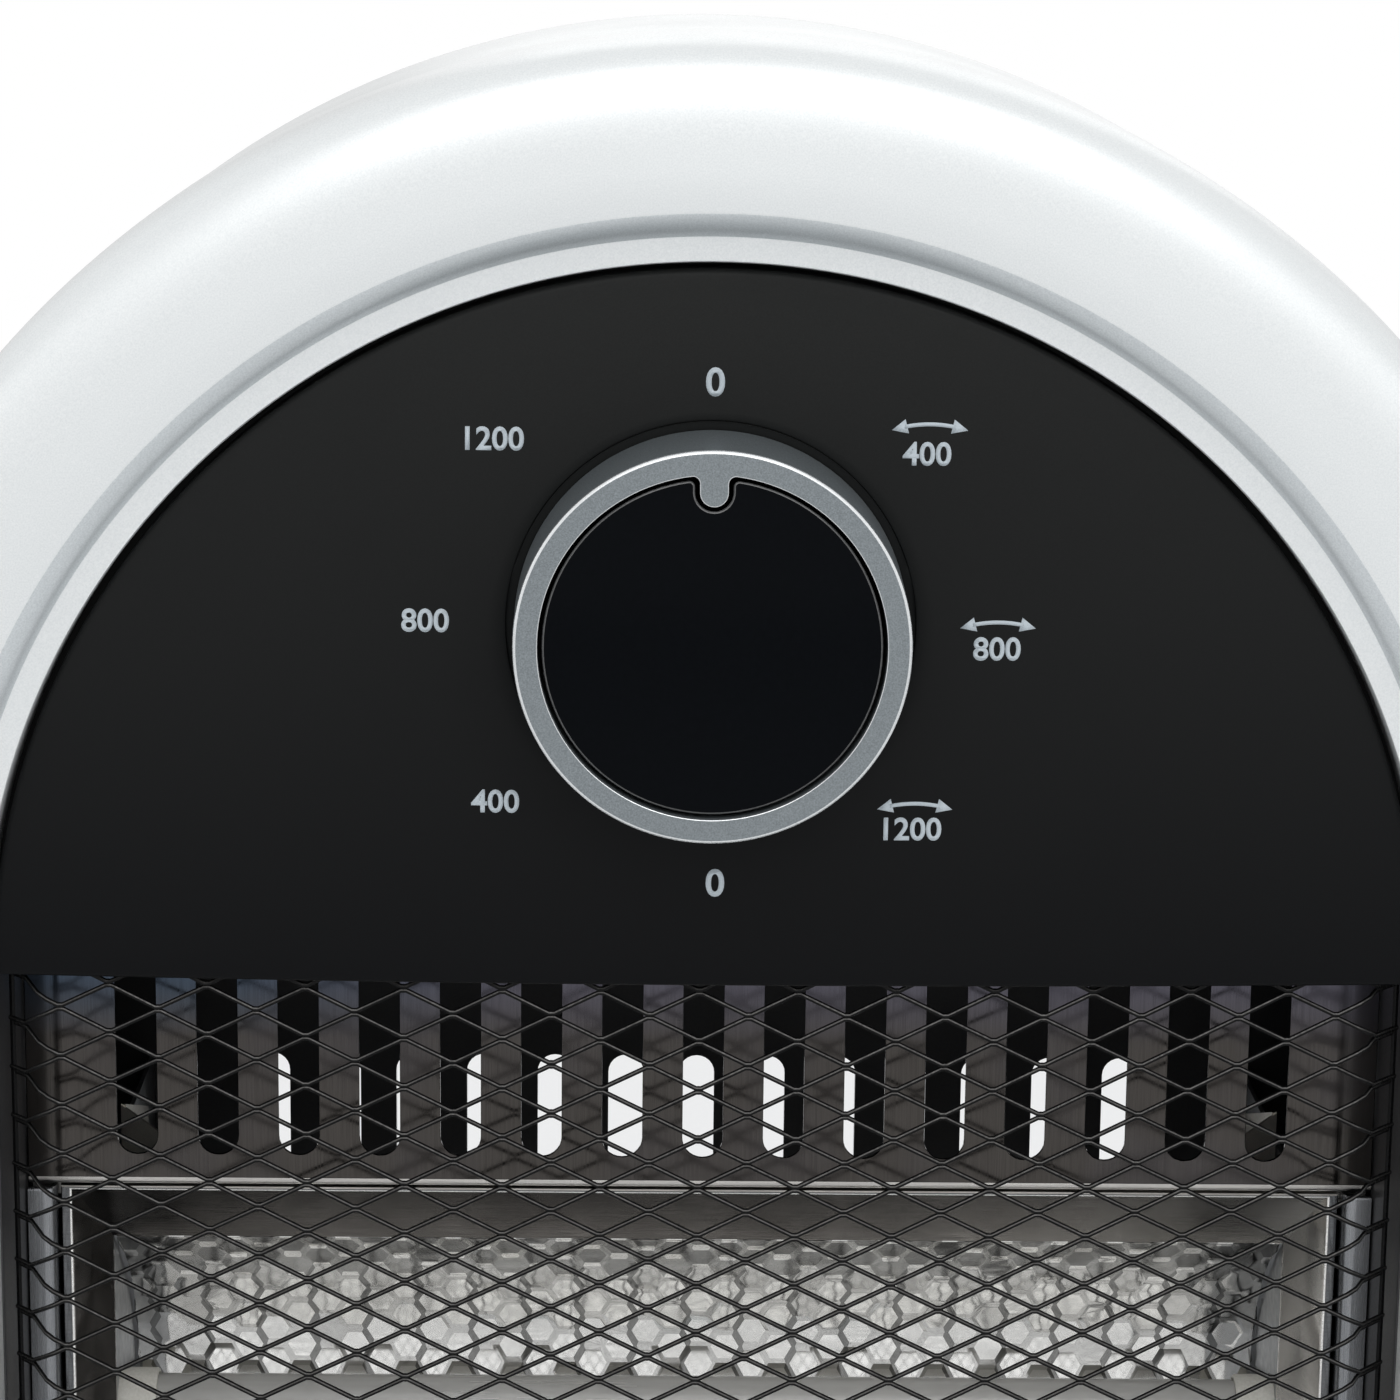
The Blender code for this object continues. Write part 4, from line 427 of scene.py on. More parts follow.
def filled(loops, to_world, low, high):
    """A plate between two heights from nested flat outlines."""
    shape = bmesh.new()
    edges = []
    for loop in loops:
        verts = [shape.verts.new((x, y, low)) for x, y in loop]
        edges += [shape.edges.new((verts[i - 1], verts[i])) for i in range(len(verts))]
    bmesh.ops.triangle_fill(shape, use_beauty=True, edges=edges)
    grown = bmesh.ops.extrude_face_region(shape, geom=shape.faces[:])["geom"]
    moved = [item for item in grown if isinstance(item, bmesh.types.BMVert)]
    bmesh.ops.translate(shape, verts=moved, vec=(0.0, 0.0, high - low))
    for vert in shape.verts:
        vert.co = to_world(*vert.co)
    outward(shape)
    return shape


def facing(depth, up=0.0):
    """Maps a plate's x, y and height to the head, its height towards the viewer."""
    return lambda x, y, height: at(x, depth - height, up + y)


def curve_shape(curve):
    """The surface of a curve or of text."""
    holder = linked(curve.name + "_line", curve)
    bpy.context.view_layer.update()
    graph = bpy.context.evaluated_depsgraph_get()
    shape = bmesh.new()
    shape.from_mesh(bpy.data.meshes.new_from_object(holder.evaluated_get(graph)))
    bpy.data.objects.remove(holder)
    return shape


def wire(name, points, radius):
    """A round wire along points in world metres."""
    curve = bpy.data.curves.new(name, "CURVE")
    curve.dimensions = "3D"
    curve.bevel_depth = radius * MM
    curve.bevel_resolution = 1
    curve.use_fill_caps = True
    spline = curve.splines.new("POLY")
    spline.points.add(len(points) - 1)
    for point, place in zip(spline.points, points):
        point.co = (*place, 1.0)
    return curve_shape(curve)


def dress(material, *names):
    """Gives carried-over CAD nodes their surface."""
    for name in names:
        for slot in frame["nodes"][name].material_slots:
            slot.material = material


# Housing

def bezel():
    """The silver front: throat, flange, sloped step, ridge and the wide band that rolls back."""
    section = [(0.0, 9.0), (0.0, 0.0), (0.04, -0.40), (0.22, -0.70), (0.55, -0.80), (3.80, -0.80),
               (4.05, -0.90), (4.35, -1.30), (4.90, -2.10), (5.70, -2.90), (6.60, -3.55), (7.50, -4.05),
               (7.85, -4.20), (8.20, -4.28)]
    band = squared(26.5, 27.1, 5.0, 56)[1:]
    section += [(8.05 + across, 22.8 - up) for across, up in band]
    section += [(34.55, 25.5), (34.45, 25.85), (34.15, 26.0), (32.35, 26.0)]
    back = len(section) - 1
    inner = squared(24.3, 24.9, 3.0, 16)[::-1]
    section += [(8.05 + across, 22.8 - up) for across, up in inner]
    section += [(5.2, 0.9), (2.2, 1.4), (2.2, 9.0)]

    # The step's rows take the darker copy of the silver paint, which is painted shade; the inner rows from
    # the back edge on take the dark plastic.
    def skin(k, i):
        return 1 if k >= back else 2 if 6 <= k < 12 else 0

    piece("bezel_skin", loft(head_sweep(section), looped=True, skin=skin),
          (SILVER, DARK_PLASTIC, STEP_SILVER_SHADED), "head", "front_bezel", 28.0)


SCREW_PLACES = ((-119.0, 45.0), (119.0, 45.0), (-125.0, -250.0), (125.0, -250.0))


def from_back(x, up, way):
    """Maps a lathed shape to the back plate, its height outwards or inwards."""
    return lambda px, py, height: at(x + px, SHELL_BACK + way * (0.2 + height), up + py)


def shell():
    """The rear half of the housing: a swept wall, and a back plate with its vents and grip opening."""
    edge, plate = 16.0, 17.2
    bend = (34.25 - edge, SHELL_BACK - edge)
    section = [(32.1, 26.3), (33.9, 26.3), (34.17, 26.42), (34.25, 26.75), (34.25, 60.0), (34.25, bend[1])]
    section += arc(bend, edge, 0.0, 90.0, 18)[1:]
    section += [(plate, SHELL_BACK), (plate, SHELL_BACK - SHELL_WALL)]
    back = len(section) - 1
    section += arc(bend, edge - SHELL_WALL, 90.0, 0.0, 10)
    side = loft(head_sweep(section), looped=True, skin=lambda k, i: int(k >= back))
    piece("shell_side", side, (SILVER, DARK_PLASTIC), "head",
          "rear_shell", 28.0)
    loops = [outline(plate)]
    loops += [slot_line((i - VENTS // 2) * VENT_PITCH, VENT_TOP, VENT_BOTTOM, VENT_WIDTH)
              for i in range(VENTS)]
    loops.append(rounded_box(57.3, 21.3, 12.3, 12, (0.0, GRIP_UP)))
    loops += [circle(4.6, 28, place) for place in SCREW_PLACES]
    sheet = filled(loops, facing(SHELL_BACK), 0.0, SHELL_WALL)
    sheet.normal_update()
    for face in sheet.faces:
        face.material_index = 1 if face.normal.y < -0.9 else 0
    piece("shell_back", sheet, (SILVER, DARK_PLASTIC), "head", angle=10.0)
    for i, (x, up) in enumerate(SCREW_PLACES, start=1):
        profile = [(4.62, -0.3), (4.55, 1.9), (2.1, 2.1), (2.1, 30.0), (4.5, 30.0), (5.0, 2.2), (5.0, 0.0)]
        piece(f"screw_boss_{i}", turned(profile, from_back(x, up, -1), 40, True), SILVER, "head")


def cross_line(r, h):
    """The outline of a cross-shaped driver recess, by its reach and half its slots' width."""
    return [(r, -h), (r, h), (h, h), (h, r), (-h, r), (-h, h), (-r, h), (-r, -h), (-h, -h), (-h, -r),
            (h, -r), (h, -h)]


def screw(name, to_world, body, stands_for):
    """A pan-head screw with a cross recess; the plate's height runs out of the head's face."""
    rings = [(0.0, -12.0), (0.9, -12.0), (1.75, -10.8), (1.75, -0.1), (3.3, 0.0), (3.6, 0.35), (3.55, 1.0),
             (3.3, 1.3), (2.95, 1.3)]
    shape = turned(rings, to_world, 40)
    top = filled([circle(2.95, 40), cross_line(1.9, 0.42)], to_world, 1.3, 1.55)
    mesh = bpy.data.meshes.new(name)
    top.to_mesh(mesh)
    top.free()
    shape.from_mesh(mesh)
    floor = [shape.verts.new(to_world(x, y, 0.5)) for x, y in circle(2.6, 24)]
    shape.faces.new(floor)
    piece(name, shape, ZINC, body, stands_for, 30.0)


def rear_screws():
    """The four screws that close the head."""
    for i, (x, up) in enumerate(SCREW_PLACES, start=1):
        screw(f"shell_screw_{i}", from_back(x, up, 1), "head", f"rear_screw_{i}")


def grip():
    """The moulded cup for the fingers, with a rolled lip round its mouth."""
    rings = []
    for half_width, half_height, corner, depth in (
            (59.0, 23.0, 14.0, 110.75), (60.6, 24.6, 15.6, 110.95), (61.0, 25.0, 16.0, 111.4),
            (60.8, 24.8, 15.8, 112.3), (60.0, 24.0, 15.0, 112.9), (56.6, 20.6, 11.6, 113.0),
            (55.6, 19.6, 10.6, 112.7), (55.0, 19.0, 10.0, 111.9), (54.2, 18.2, 9.2, 100.0),
            (53.1, 17.1, 8.4, 89.5), (52.4, 16.4, 8.0, 87.8), (50.5, 14.5, 6.5, 87.0)):
        rings.append([at(x, depth, GRIP_UP + up) for x, up in rounded_box(half_width, half_height, corner)])
    shape = loft(rings)
    shape.faces.new([shape.verts.new(at(x, 87.0, GRIP_UP + up)) for x, up in rounded_box(50.5, 14.5, 6.5)])
    welded(shape)
    piece("grip_cup", shape, DARK_PLASTIC, "head", "handle_cup", 40.0)


# Control panel

def panel_reach(angle, radius, floor):
    """How far the panel's edge is from the knob's axis in one direction, for that arch and lower edge."""
    dz = sin(angle)
    along = KNOB_UP * dz
    reach = -along + sqrt(max(along * along + radius * radius - KNOB_UP * KNOB_UP, 0.0))
    if dz < 0:
        reach = min(reach, (floor - KNOB_UP) / dz)
    return reach


def panel():
    """The bulged half disc, its rim rolled over, with the round well that the knob sits in."""
    corner = atan2(-KNOB_UP, PANEL)
    angles = [corner + (pi - 2 * corner) * i / 150 for i in range(151)]
    angles += [pi - corner + (pi + 2 * corner) * i / 90 for i in range(1, 90)]

    def ring(near, edge, floor, share, sink, depth=None):
        """Part of the way from a radius to an edge, sunk below the bulge or else at one depth."""
        points = []
        for a in angles:
            reach = near + (panel_reach(a, edge, floor) - near) * share
            x, up = reach * cos(a), KNOB_UP + reach * sin(a)
            points.append(at(x, dome(x, up) + sink if depth is None else depth, up))
        return points

    rings = [ring(radius, PANEL, 0.0, 0.0, 0.0, depth) for radius, depth in (
        (3.4, 1.6), (3.4, 0.25), (3.6, 0.1), (12.0, 0.1), (22.0, 0.1), (31.9, 0.1), (32.3, -0.05))]
    rings += [ring(32.4, PANEL, 0.0, 0.0, 0.50), ring(32.5, PANEL, 0.0, 0.0, 0.16)]
    rings += [ring(WELL, PANEL - 1.0, 0.9, share, 0.0) for share in (
        0.0, 0.04, 0.12, 0.22, 0.34, 0.46, 0.58, 0.70, 0.82, 0.92, 1.0)]
    rings += [ring(WELL, PANEL - inset, floor, 1.0, sink) for inset, floor, sink in (
        (0.55, 0.45, 0.10), (0.22, 0.16, 0.32), (0.04, 0.03, 0.70), (0.0, 0.0, 1.1), (0.0, 0.0, 2.4))]
    rings += [ring(WELL, edge, 0.0, 1.0, 0.0, depth) for edge, depth in (
        (PANEL, 9.3), (WINDOW + 3.9, 9.3), (WINDOW + 3.9, 10.9), (PANEL - 2.4, 10.9))]
    rings += [ring(WELL, PANEL - 2.4, 0.0, share, 3.0) for share in (1.0, 0.5, 0.0)]
    piece("panel_skin", loft(rings, looped=True), PANEL_BLACK, "head", "control_fascia", 40.0)


FIGURE_WEIGHT = 0.022
# How far the print stands off the panel, and its thickness
PRINT_UP, PRINT_THICK = 0.035, 0.03


def figure_faces(words, x, up, tall):
    """The faces of flat figures, centred at a place on the panel."""
    curve = bpy.data.curves.new("figure", "FONT")
    curve.body = words
    curve.offset = FIGURE_WEIGHT
    curve.resolution_u = 5
    shape = curve_shape(curve)
    xs, ys = [v.co.x for v in shape.verts], [v.co.y for v in shape.verts]
    middle_x, middle_y = (min(xs) + max(xs)) / 2, (min(ys) + max(ys)) / 2
    size = tall / (max(ys) - min(ys))
    faces = [[(x + (v.co.x - middle_x) * size, up + (v.co.y - middle_y) * size) for v in face.verts]
             for face in shape.faces]
    shape.free()
    return faces


def arrow_faces(x, up, width):
    """A thin double-headed arrow arched upwards, as quads and two heads."""
    half, thick, head, tall, rise = width / 2, 0.31, 2.5, 1.15, 0.95
    steps, reach = 12, half - head * 0.8

    def lift(px):
        return rise * (1.0 - (px / half) ** 2)

    faces = []
    runs = [-reach + 2 * reach * i / steps for i in range(steps + 1)]
    for a, b in zip(runs, runs[1:]):
        faces.append([(x + a, up + lift(a) - thick), (x + b, up + lift(b) - thick),
                      (x + b, up + lift(b) + thick), (x + a, up + lift(a) + thick)])
    lean = 2 * rise * (half - head / 2) / half ** 2
    run, drop = cos(atan(lean)), sin(atan(lean))
    for side in (-1, 1):
        root_x, root_up = side * (half - head * run), lift(half) + head * drop
        tip = [(x + side * half, up), (x + root_x + side * drop * tall, up + root_up + run * tall),
               (x + root_x - side * drop * tall, up + root_up - run * tall)]
        faces.append(tip if side < 0 else tip[::-1])
    return faces


def dial_marks():
    """Plain figures and turning arrows round the knob, printed on the bulged panel."""
    faces = []
    for words, x, up, tall in (("0", 0.3, 97.3, 4.6), ("0", 1.1, 17.2, 4.6), ("1200", -34.2, 88.1, 3.8),
                               ("800", -45.1, 59.2, 3.8), ("400", -34.0, 30.2, 3.8), ("400", 33.6, 86.3, 3.8),
                               ("800", 45.3, 55.4, 3.8), ("1200", 32.5, 26.2, 3.8)):
        faces += figure_faces(words, x, up, tall)
    for x, up in ((34.0, 90.0), (45.4, 58.7), (32.8, 29.4)):
        faces += arrow_faces(x, up, 12.0)
    shape = bmesh.new()
    for face in faces:
        shape.faces.new([shape.verts.new(at(x, dome(x, up) - PRINT_UP, up)) for x, up in face])
    welded(shape)
    shape.normal_update()
    bmesh.ops.reverse_faces(shape, faces=[face for face in shape.faces if face.normal.y > 0])
    made = piece("dial_marks", shape, PRINT, "head")
    ink = made.modifiers.new("ink", "SOLIDIFY")
    ink.thickness = PRINT_THICK * MM
    ink.offset = -1.0


# Knob

def covered(shape, *loops):
    """Fills the flat space between rings that already have edges."""
    edges = [shape.edges.get((loop[i - 1], loop[i])) for loop in loops for i in range(len(loop))]
    bmesh.ops.triangle_fill(shape, use_beauty=True, edges=edges)


def raised(points, height):
    """A flat ring at a height."""
    return [(x, y, height) for x, y in points]


def placed(shape, to_world):
    """Moves a shape built flat to its place and turns its faces outwards."""
    for vert in shape.verts:
        vert.co = to_world(*vert.co)
    outward(shape)


def knob_ring():
    """The silver rim of the knob, with the pointer's tongue running in from its top."""
    half, tip, inner, fillet = 2.2, 22.0, 26.9, 1.1
    centre_up = sqrt((inner - fillet) ** 2 - (half + fillet) ** 2)
    turn = degrees(atan2(centre_up, half + fillet))

    def line(grow):
        points = arc((0.0, 0.0), inner + grow, 180.0 - turn, 360.0 + turn, 120)
        points += arc((half + fillet, centre_up), fillet + grow, turn, 180.0, 8)[1:]
        points += arc((0.0, tip + half), half - grow, 0.0, -180.0, 20)
        return points + arc((-half - fillet, centre_up), fillet + grow, 0.0, 180.0 - turn, 8)[:-1]

    shape = bmesh.new()
    # The outer and inner rounded edges of the rim take the much lighter silver: painted highlight lines.
    outer = rows_through(shape, [raised(circle(r, 144), h) for r, h in (
        (30.22, 20.3), (30.44, 20.24), (30.62, 20.08), (30.72, 19.8), (31.05, 0.4))], lambda k, i: int(k < 3))
    hole = rows_through(shape, [raised(line(g), h) for g, h in (
        (0.14, 20.3), (0.04, 20.26), (0.0, 20.16), (0.0, 0.4))], lambda k, i: int(k < 2))
    covered(shape, outer[0], hole[0])
    covered(shape, outer[-1], hole[-1])
    placed(shape, facing(0.0, KNOB_UP))
    piece("knob_rim", shape, (KNOB_SILVER, KNOB_EDGE_HIGHLIGHT), "knob", "knob_ring", 14.0)


def knob_cap():
    """The glossy black disc inside the rim, domed, and cut away round the pointer."""
    half, tip, edge, fillet, steps = 2.95, 21.25, 26.2, 0.9, 96
    side = degrees(asin((half + fillet) / (edge - fillet)))
    up = (edge - fillet) * cos(radians(side))

    def rim(grow, drop):
        points = arc((0.0, 0.0), edge - grow, 90.0 + side, 450.0 - side, 110)
        points += arc((half + fillet, up), fillet - grow, 90.0 - side, 180.0, 7)[1:]
        points += arc((0.0, tip + half), half + grow, 0.0, -180.0, 20)
        points += arc((-half - fillet, up), fillet - grow, 0.0, 90.0 + side, 7)[:-1]
        return [(x, y, rise(hypot(x, y)) - drop) for x, y in points]

    def rise(radius):
        return 19.4 + 1.1 * (1.0 - (radius / edge) ** 2)

    shape = bmesh.new()
    rows = rows_through(shape, [raised(circle(r, steps), rise(r)) for r in (19.3, 16.0, 12.0, 8.0, 4.0, 1.5)])
    shape.faces.new(rows[-1])
    # The rim's two outer rows take the grey: a painted highlight line round the cap.
    border = rows_through(shape, [rim(0.30, 0.0), rim(0.12, 0.05), rim(0.0, 0.22), rim(0.0, 2.6)],
                          lambda k, i: int(k < 2))
    covered(shape, border[0], rows[0])
    placed(shape, facing(0.0, KNOB_UP))
    piece("knob_disc", shape, (CAP_BLACK, CAP_EDGE_HIGHLIGHT), "knob", "knob_cap", 10.0)


# Guard

# The diamonds' half width and half height, where a column and the top row lie, and the sheet's depth
GUARD_PITCH, GUARD_ROW, GUARD_FIRST, GUARD_TOP_NODE, GUARD_DEPTH = 7.975, 4.165, -1.08, -1.95, 1.9
# Where the sheet starts to bend back, over what length and by what angle, and where it ends
GUARD_BEND, GUARD_TURN, GUARD_LEAN, GUARD_REACH = 106.6, 2.2, 48.0, 116.8


def guard_place(run, up, lift):
    """A point on the guard's sheet: flat and bowed in the middle, bent back near both sides."""
    side = 1.0 if run >= 0 else -1.0
    far = abs(run)
    bow = GUARD_DEPTH + BOW * (min(far, GUARD_BEND) / PANEL) ** 2
    if far <= GUARD_BEND:
        x, depth = far, bow + lift
    else:
        over = far - GUARD_BEND
        bent = min(over, GUARD_TURN)
        lean = radians(bent / GUARD_TURN * GUARD_LEAN)
        radius = GUARD_TURN / radians(GUARD_LEAN)
        x = GUARD_BEND + radius * sin(lean) + (over - bent) * cos(lean) - lift * sin(lean)
        depth = bow + radius * (1.0 - cos(lean)) + (over - bent) * sin(lean) + lift * cos(lean)
    low, corner = CORNER - DROP, CORNER - 1.4
    dx = x - (WINDOW - CORNER)
    dz = up - low
    reach = hypot(dx, dz)
    if dx > 0 and dz < 0 and reach > corner:
        x = WINDOW - CORNER + dx * corner / reach
        up = low + dz * corner / reach
    return at(side * x, depth, up)


def guard():
    """Expanded metal: zigzag strands that meet at their bonds, each strand a flat ribbon set at a slant."""
    shape = bmesh.new()
    reach = GUARD_REACH
    first = int((-reach - GUARD_FIRST) / GUARD_PITCH)
    last = int((reach - GUARD_FIRST) / GUARD_PITCH)
    lines = int((DROP - 1.6 + GUARD_TOP_NODE) / GUARD_ROW)
    wide, thick, bond, wave, tilt = 0.40, 0.27, 0.45, 0.20, radians(24.0)
    front, flank = wide - 0.29, thick - 0.25
    section = [(-front, -thick), (front, -thick), (wide, -flank), (wide, flank), (front, thick),
               (-front, thick), (-wide, flank), (-wide, -flank)]
    for line in range(-1, lines):
        top = GUARD_TOP_NODE - GUARD_ROW * line
        low = top - GUARD_ROW
        path = []
        for column in range(first, last + 1):
            x = GUARD_FIRST + GUARD_PITCH * column
            high = (column + line) % 2 == 0
            up = top - wide if high else low + wide
            lift = wave if high else -wave
            for shift in (-bond, 0.0, bond):
                path.append((x + shift, up, lift))
            if column < last:
                other = low + wide if high else top - wide
                for share in (0.25, 0.5, 0.75):
                    path.append((x + bond + (GUARD_PITCH - 2 * bond) * share, up + (other - up) * share,
                                 lift * (1 - 2 * share)))
        path = [(-reach, *path[0][1:])] + path + [(reach, *path[-1][1:])]
        path = sorted(point for point in path if abs(point[0]) <= reach)
        rings = []
        for i, (x, up, lift) in enumerate(path):
            (x_a, up_a, _), (x_b, up_b, _) = path[max(i - 1, 0)], path[min(i + 1, len(path) - 1)]
            slope = atan2(up_b - up_a, x_b - x_a)
            ring = []
            for a, b in section:
                across = a * cos(tilt) - b * sin(tilt)
                through = a * sin(tilt) + b * cos(tilt)
                ring.append(guard_place(x - across * sin(slope), up + across * cos(slope), lift + through))
            rings.append(ring)
        # Each strand's front face takes the lighter metallic material: a painted highlight line along it.
        rows_through(shape, rings, lambda k, i: int(i == 0), ends=True)
    outward(shape)
    piece("guard_strands", shape, (GUARD_PAINT, GUARD_FACE_HIGHLIGHT), "head", "guard_mesh", 30.0)
    bottom = GUARD_TOP_NODE - GUARD_ROW * lines
    rings = []
    for i in range(61):
        run = -reach + 2 * reach * i / 60
        rings.append([guard_place(run, bottom + a, b)
                      for a, b in ((-0.6, -0.35), (0.6, -0.35), (0.6, 0.35), (-0.6, 0.35))])
    rounded(piece("guard_hem", loft(rings, ends=True), GUARD_PAINT, "head"), 0.15)
    for side, word in SIDES:
        rings = []
        for i in range(41):
            up = 4.0 - (4.0 - bottom) * i / 40
            rings.append([guard_place(side * (reach - 0.5 + a), up, b)
                          for a, b in ((-0.5, -0.3), (0.4, -0.3), (0.4, 0.3), (-0.5, 0.3))])
        rounded(piece(f"guard_edge_{word}", loft(rings, ends=True), GUARD_PAINT, "head"), 0.12)


def surround():
    """The dark sleeve round the window's sides and bottom."""
    section = [(4.0, 9.3), (0.4, 9.3), (-0.2, 9.5), (-0.4, 10.0), (-0.4, 36.6), (-0.3, 37.0), (1.2, 37.0),
               (1.2, 11.0), (4.0, 10.9)]
    shape = loft(head_sweep(section, lower_line), closed=False, looped=True)
    bmesh.ops.holes_fill(shape, edges=[edge for edge in shape.edges if edge.is_boundary])
    piece("surround_skin", shape, DARK_PLASTIC, "head", "window_surround", 40.0)


# Steelwork

def liner():
    """The slotted sheet behind the guard, with its lower edge folded back."""
    side, low, high, back, thick = LINER, -45.2, 20.0, 35.6, 0.8
    loops = [[(-side, low), (side, low), (side, high), (-side, high)]]
    loops += [slot_line((i - SLOTS // 2) * SLOT_PITCH + SLOT_SHIFT, SLOT_TOP, SLOT_BOTTOM, SLOT_WIDTH, 14)
              for i in range(SLOTS)]
    sheet = piece("liner_sheet", filled(loops, facing(back), 0.0, thick), LINER_STEEL, "head",
                  "slotted_liner")
    rounded(sheet, 0.14)
    # The fold takes the much lighter steel: painted highlight along the liner's lower edge.
    fold = [(34.8, -45.15), (34.86, -45.75), (35.15, -46.2), (35.7, -46.5), (38.9, -46.5), (39.3, -46.9),
            (39.3, -49.7), (39.9, -49.7), (39.9, -46.3), (39.5, -45.7), (36.0, -45.7), (35.6, -45.15)]
    rings = [[at(x, depth, up) for depth, up in fold] for x in (-side, -side * 0.5, 0.0, side * 0.5, side)]
    piece("liner_fold", loft(rings, ends=True), FOLD_STEEL_HIGHLIGHT, "head")


def reflector_frame():
    """Four sloped strips that lead in to the reflector, mitred, inside a flat rolled flange."""
    rings = []
    for side, top, depth in ((110.15, -47.25, 39.0), (110.15, -47.25, 36.9), (110.05, -47.32, 36.5),
                             (109.85, -47.58, 36.22), (108.60, -47.70, 36.22), (108.25, -48.00, 36.40),
                             (108.00, -48.25, 37.2), (105.2, -53.7, 41.0), (102.4, -59.3, 45.0),
                             (102.4, -59.3, 46.2), (104.6, -54.6, 42.6), (107.5, -49.2, 38.4),
                             (109.3, -48.2, 37.6), (109.3, -48.2, 39.0)):
        bottom = MIRROR_TOP + MIRROR_BOTTOM - top
        corners = [(-side, bottom), (side, bottom), (side, top), (-side, top)]
        ring = []
        for (x, up), (to_x, to_up) in zip(corners, corners[1:] + corners[:1]):
            ring += [at(x + (to_x - x) * i / 12, depth, up + (to_up - up) * i / 12) for i in range(12)]
        rings.append(ring)
    piece("frame_skin", loft(rings, looped=True), FRAME_STEEL, "head", "reflector_frame",
          32.0)


def trough_line():
    """(distance below the sheet's top, depth, height) down the three troughs, closely spaced."""
    points = []
    for trough in range(3):
        centre = MIRROR_TOP - TROUGH_PITCH * (trough + 0.5)
        for i in range(61):
            share = 2 * i / 60 - 1
            end = (trough == 0 and share < 0) or (trough == 2 and share > 0)
            rim = 46.5 if end else 52.0
            depth = TROUGH_DEPTH - (TROUGH_DEPTH - rim) * share * share
            if i or not trough:
                points.append((depth, centre - share * (TROUGH_PITCH / 2 - (0.6 if end else 0.0))))
    return [(points[0][1] - up, depth, up) for depth, up in points]


def reflector():
    """The embossed mirror sheet: flat-topped hexagons at three heights, with bevelled sides."""
    line = trough_line()
    starts = [run for run, _, _ in line]
    total = starts[-1]

    def lying(x, run, lift):
        run = min(max(run, 0.0), total)
        x = min(max(x, -MIRROR_SIDE), MIRROR_SIDE)
        high = min(bisect.bisect_right(starts, run), len(line) - 1)
        (ra, da, za), (rb, db, zb) = line[high - 1], line[high]
        share = (run - ra) / (rb - ra)
        length = hypot(db - da, zb - za)
        slope_d, slope_z = (db - da) / length, (zb - za) / length
        depth = da + (db - da) * share
        up = za + (zb - za) * share
        return at(x, depth + slope_z * lift, up - slope_d * lift)

    shape = bmesh.new()
    across, column_pitch, row_pitch, shift = 6.45, 4.8375, 6.7, 0.4
    corners = [(x * across / 2, y / sin(radians(60.0)) * row_pitch / 2) for x, y in circle(1.0, 6)]
    columns = int((MIRROR_SIDE + 2.0) / column_pitch) + 1
    rows = int(total / row_pitch) + 2
    for column in range(-columns, columns + 1):
        for row in range(-1, rows):
            x = column * column_pitch + shift
            run = row * row_pitch + (row_pitch / 2 if column % 2 else 0.0)
            if abs(x) - across / 2 > MIRROR_SIDE or run - row_pitch / 2 > total or run + row_pitch / 2 < 0:
                continue
            level = ((column * 7 + row * 5 + (column * row) % 3) % 3) - 1
            lift = (0.15, 0.03, -0.10)[level]
            # Painted reflection and shade: the closer a cell lies below a trough's top edge, the darker the
            # copy of the mirror steel it takes; cells near the sides, and a scattered few, take at least the
            # second shade.
            below = (line[0][2] - lying(x, run, 0.0).z / MM + CENTRE_Z / MM) % TROUGH_PITCH
            shade = sum(below < limit for limit in (15.0, 11.0, 7.5, 4.5))
            if abs(x) > 90.0 or (column * 5 + row * 3) % 29 == 0:
                shade = max(shade, 1)
            outer, inner = [], []
            for dx, dr in corners:
                outer.append(shape.verts.new(lying(x + dx, run + dr, 0.0)))
                inner.append(shape.verts.new(lying(x + dx * 0.80, run + dr * 0.72, lift)))
            # In the paler rows two bevels on one side of each cell take the dark bevel shade and the rest
            # take the pale one; in the darker rows two opposite bevels take the brightest shade and the rest
            # take the middle one: painted shade and painted highlight.
            dark_sides = (0, 5) if column % 2 else (2, 3)
            for i in range(6):
                j = (i + 1) % 6
                face = shape.faces.new((outer[i], outer[j], inner[j], inner[i]))
                if shade > 1:
                    face.material_index = 0 if i in (1, 4) else 2
                else:
                    face.material_index = 5 if i in dark_sides else 1
            shape.faces.new(inner).material_index = shade
    welded(shape, 0.02)
    bmesh.ops.dissolve_degenerate(shape, edges=shape.edges, dist=0.00001)
    outward(shape)
    shape.normal_update()
    if sum(face.normal.y * face.calc_area() for face in shape.faces) > 0:
        bmesh.ops.reverse_faces(shape, faces=shape.faces)
    made = piece("mirror_sheet", shape, MIRROR_PAINTED_SHADES, "head", "reflector_panel", 12.0)
    wall = made.modifiers.new("sheet", "SOLIDIFY")
    wall.thickness = 0.5 * MM
    wall.offset = -1.0


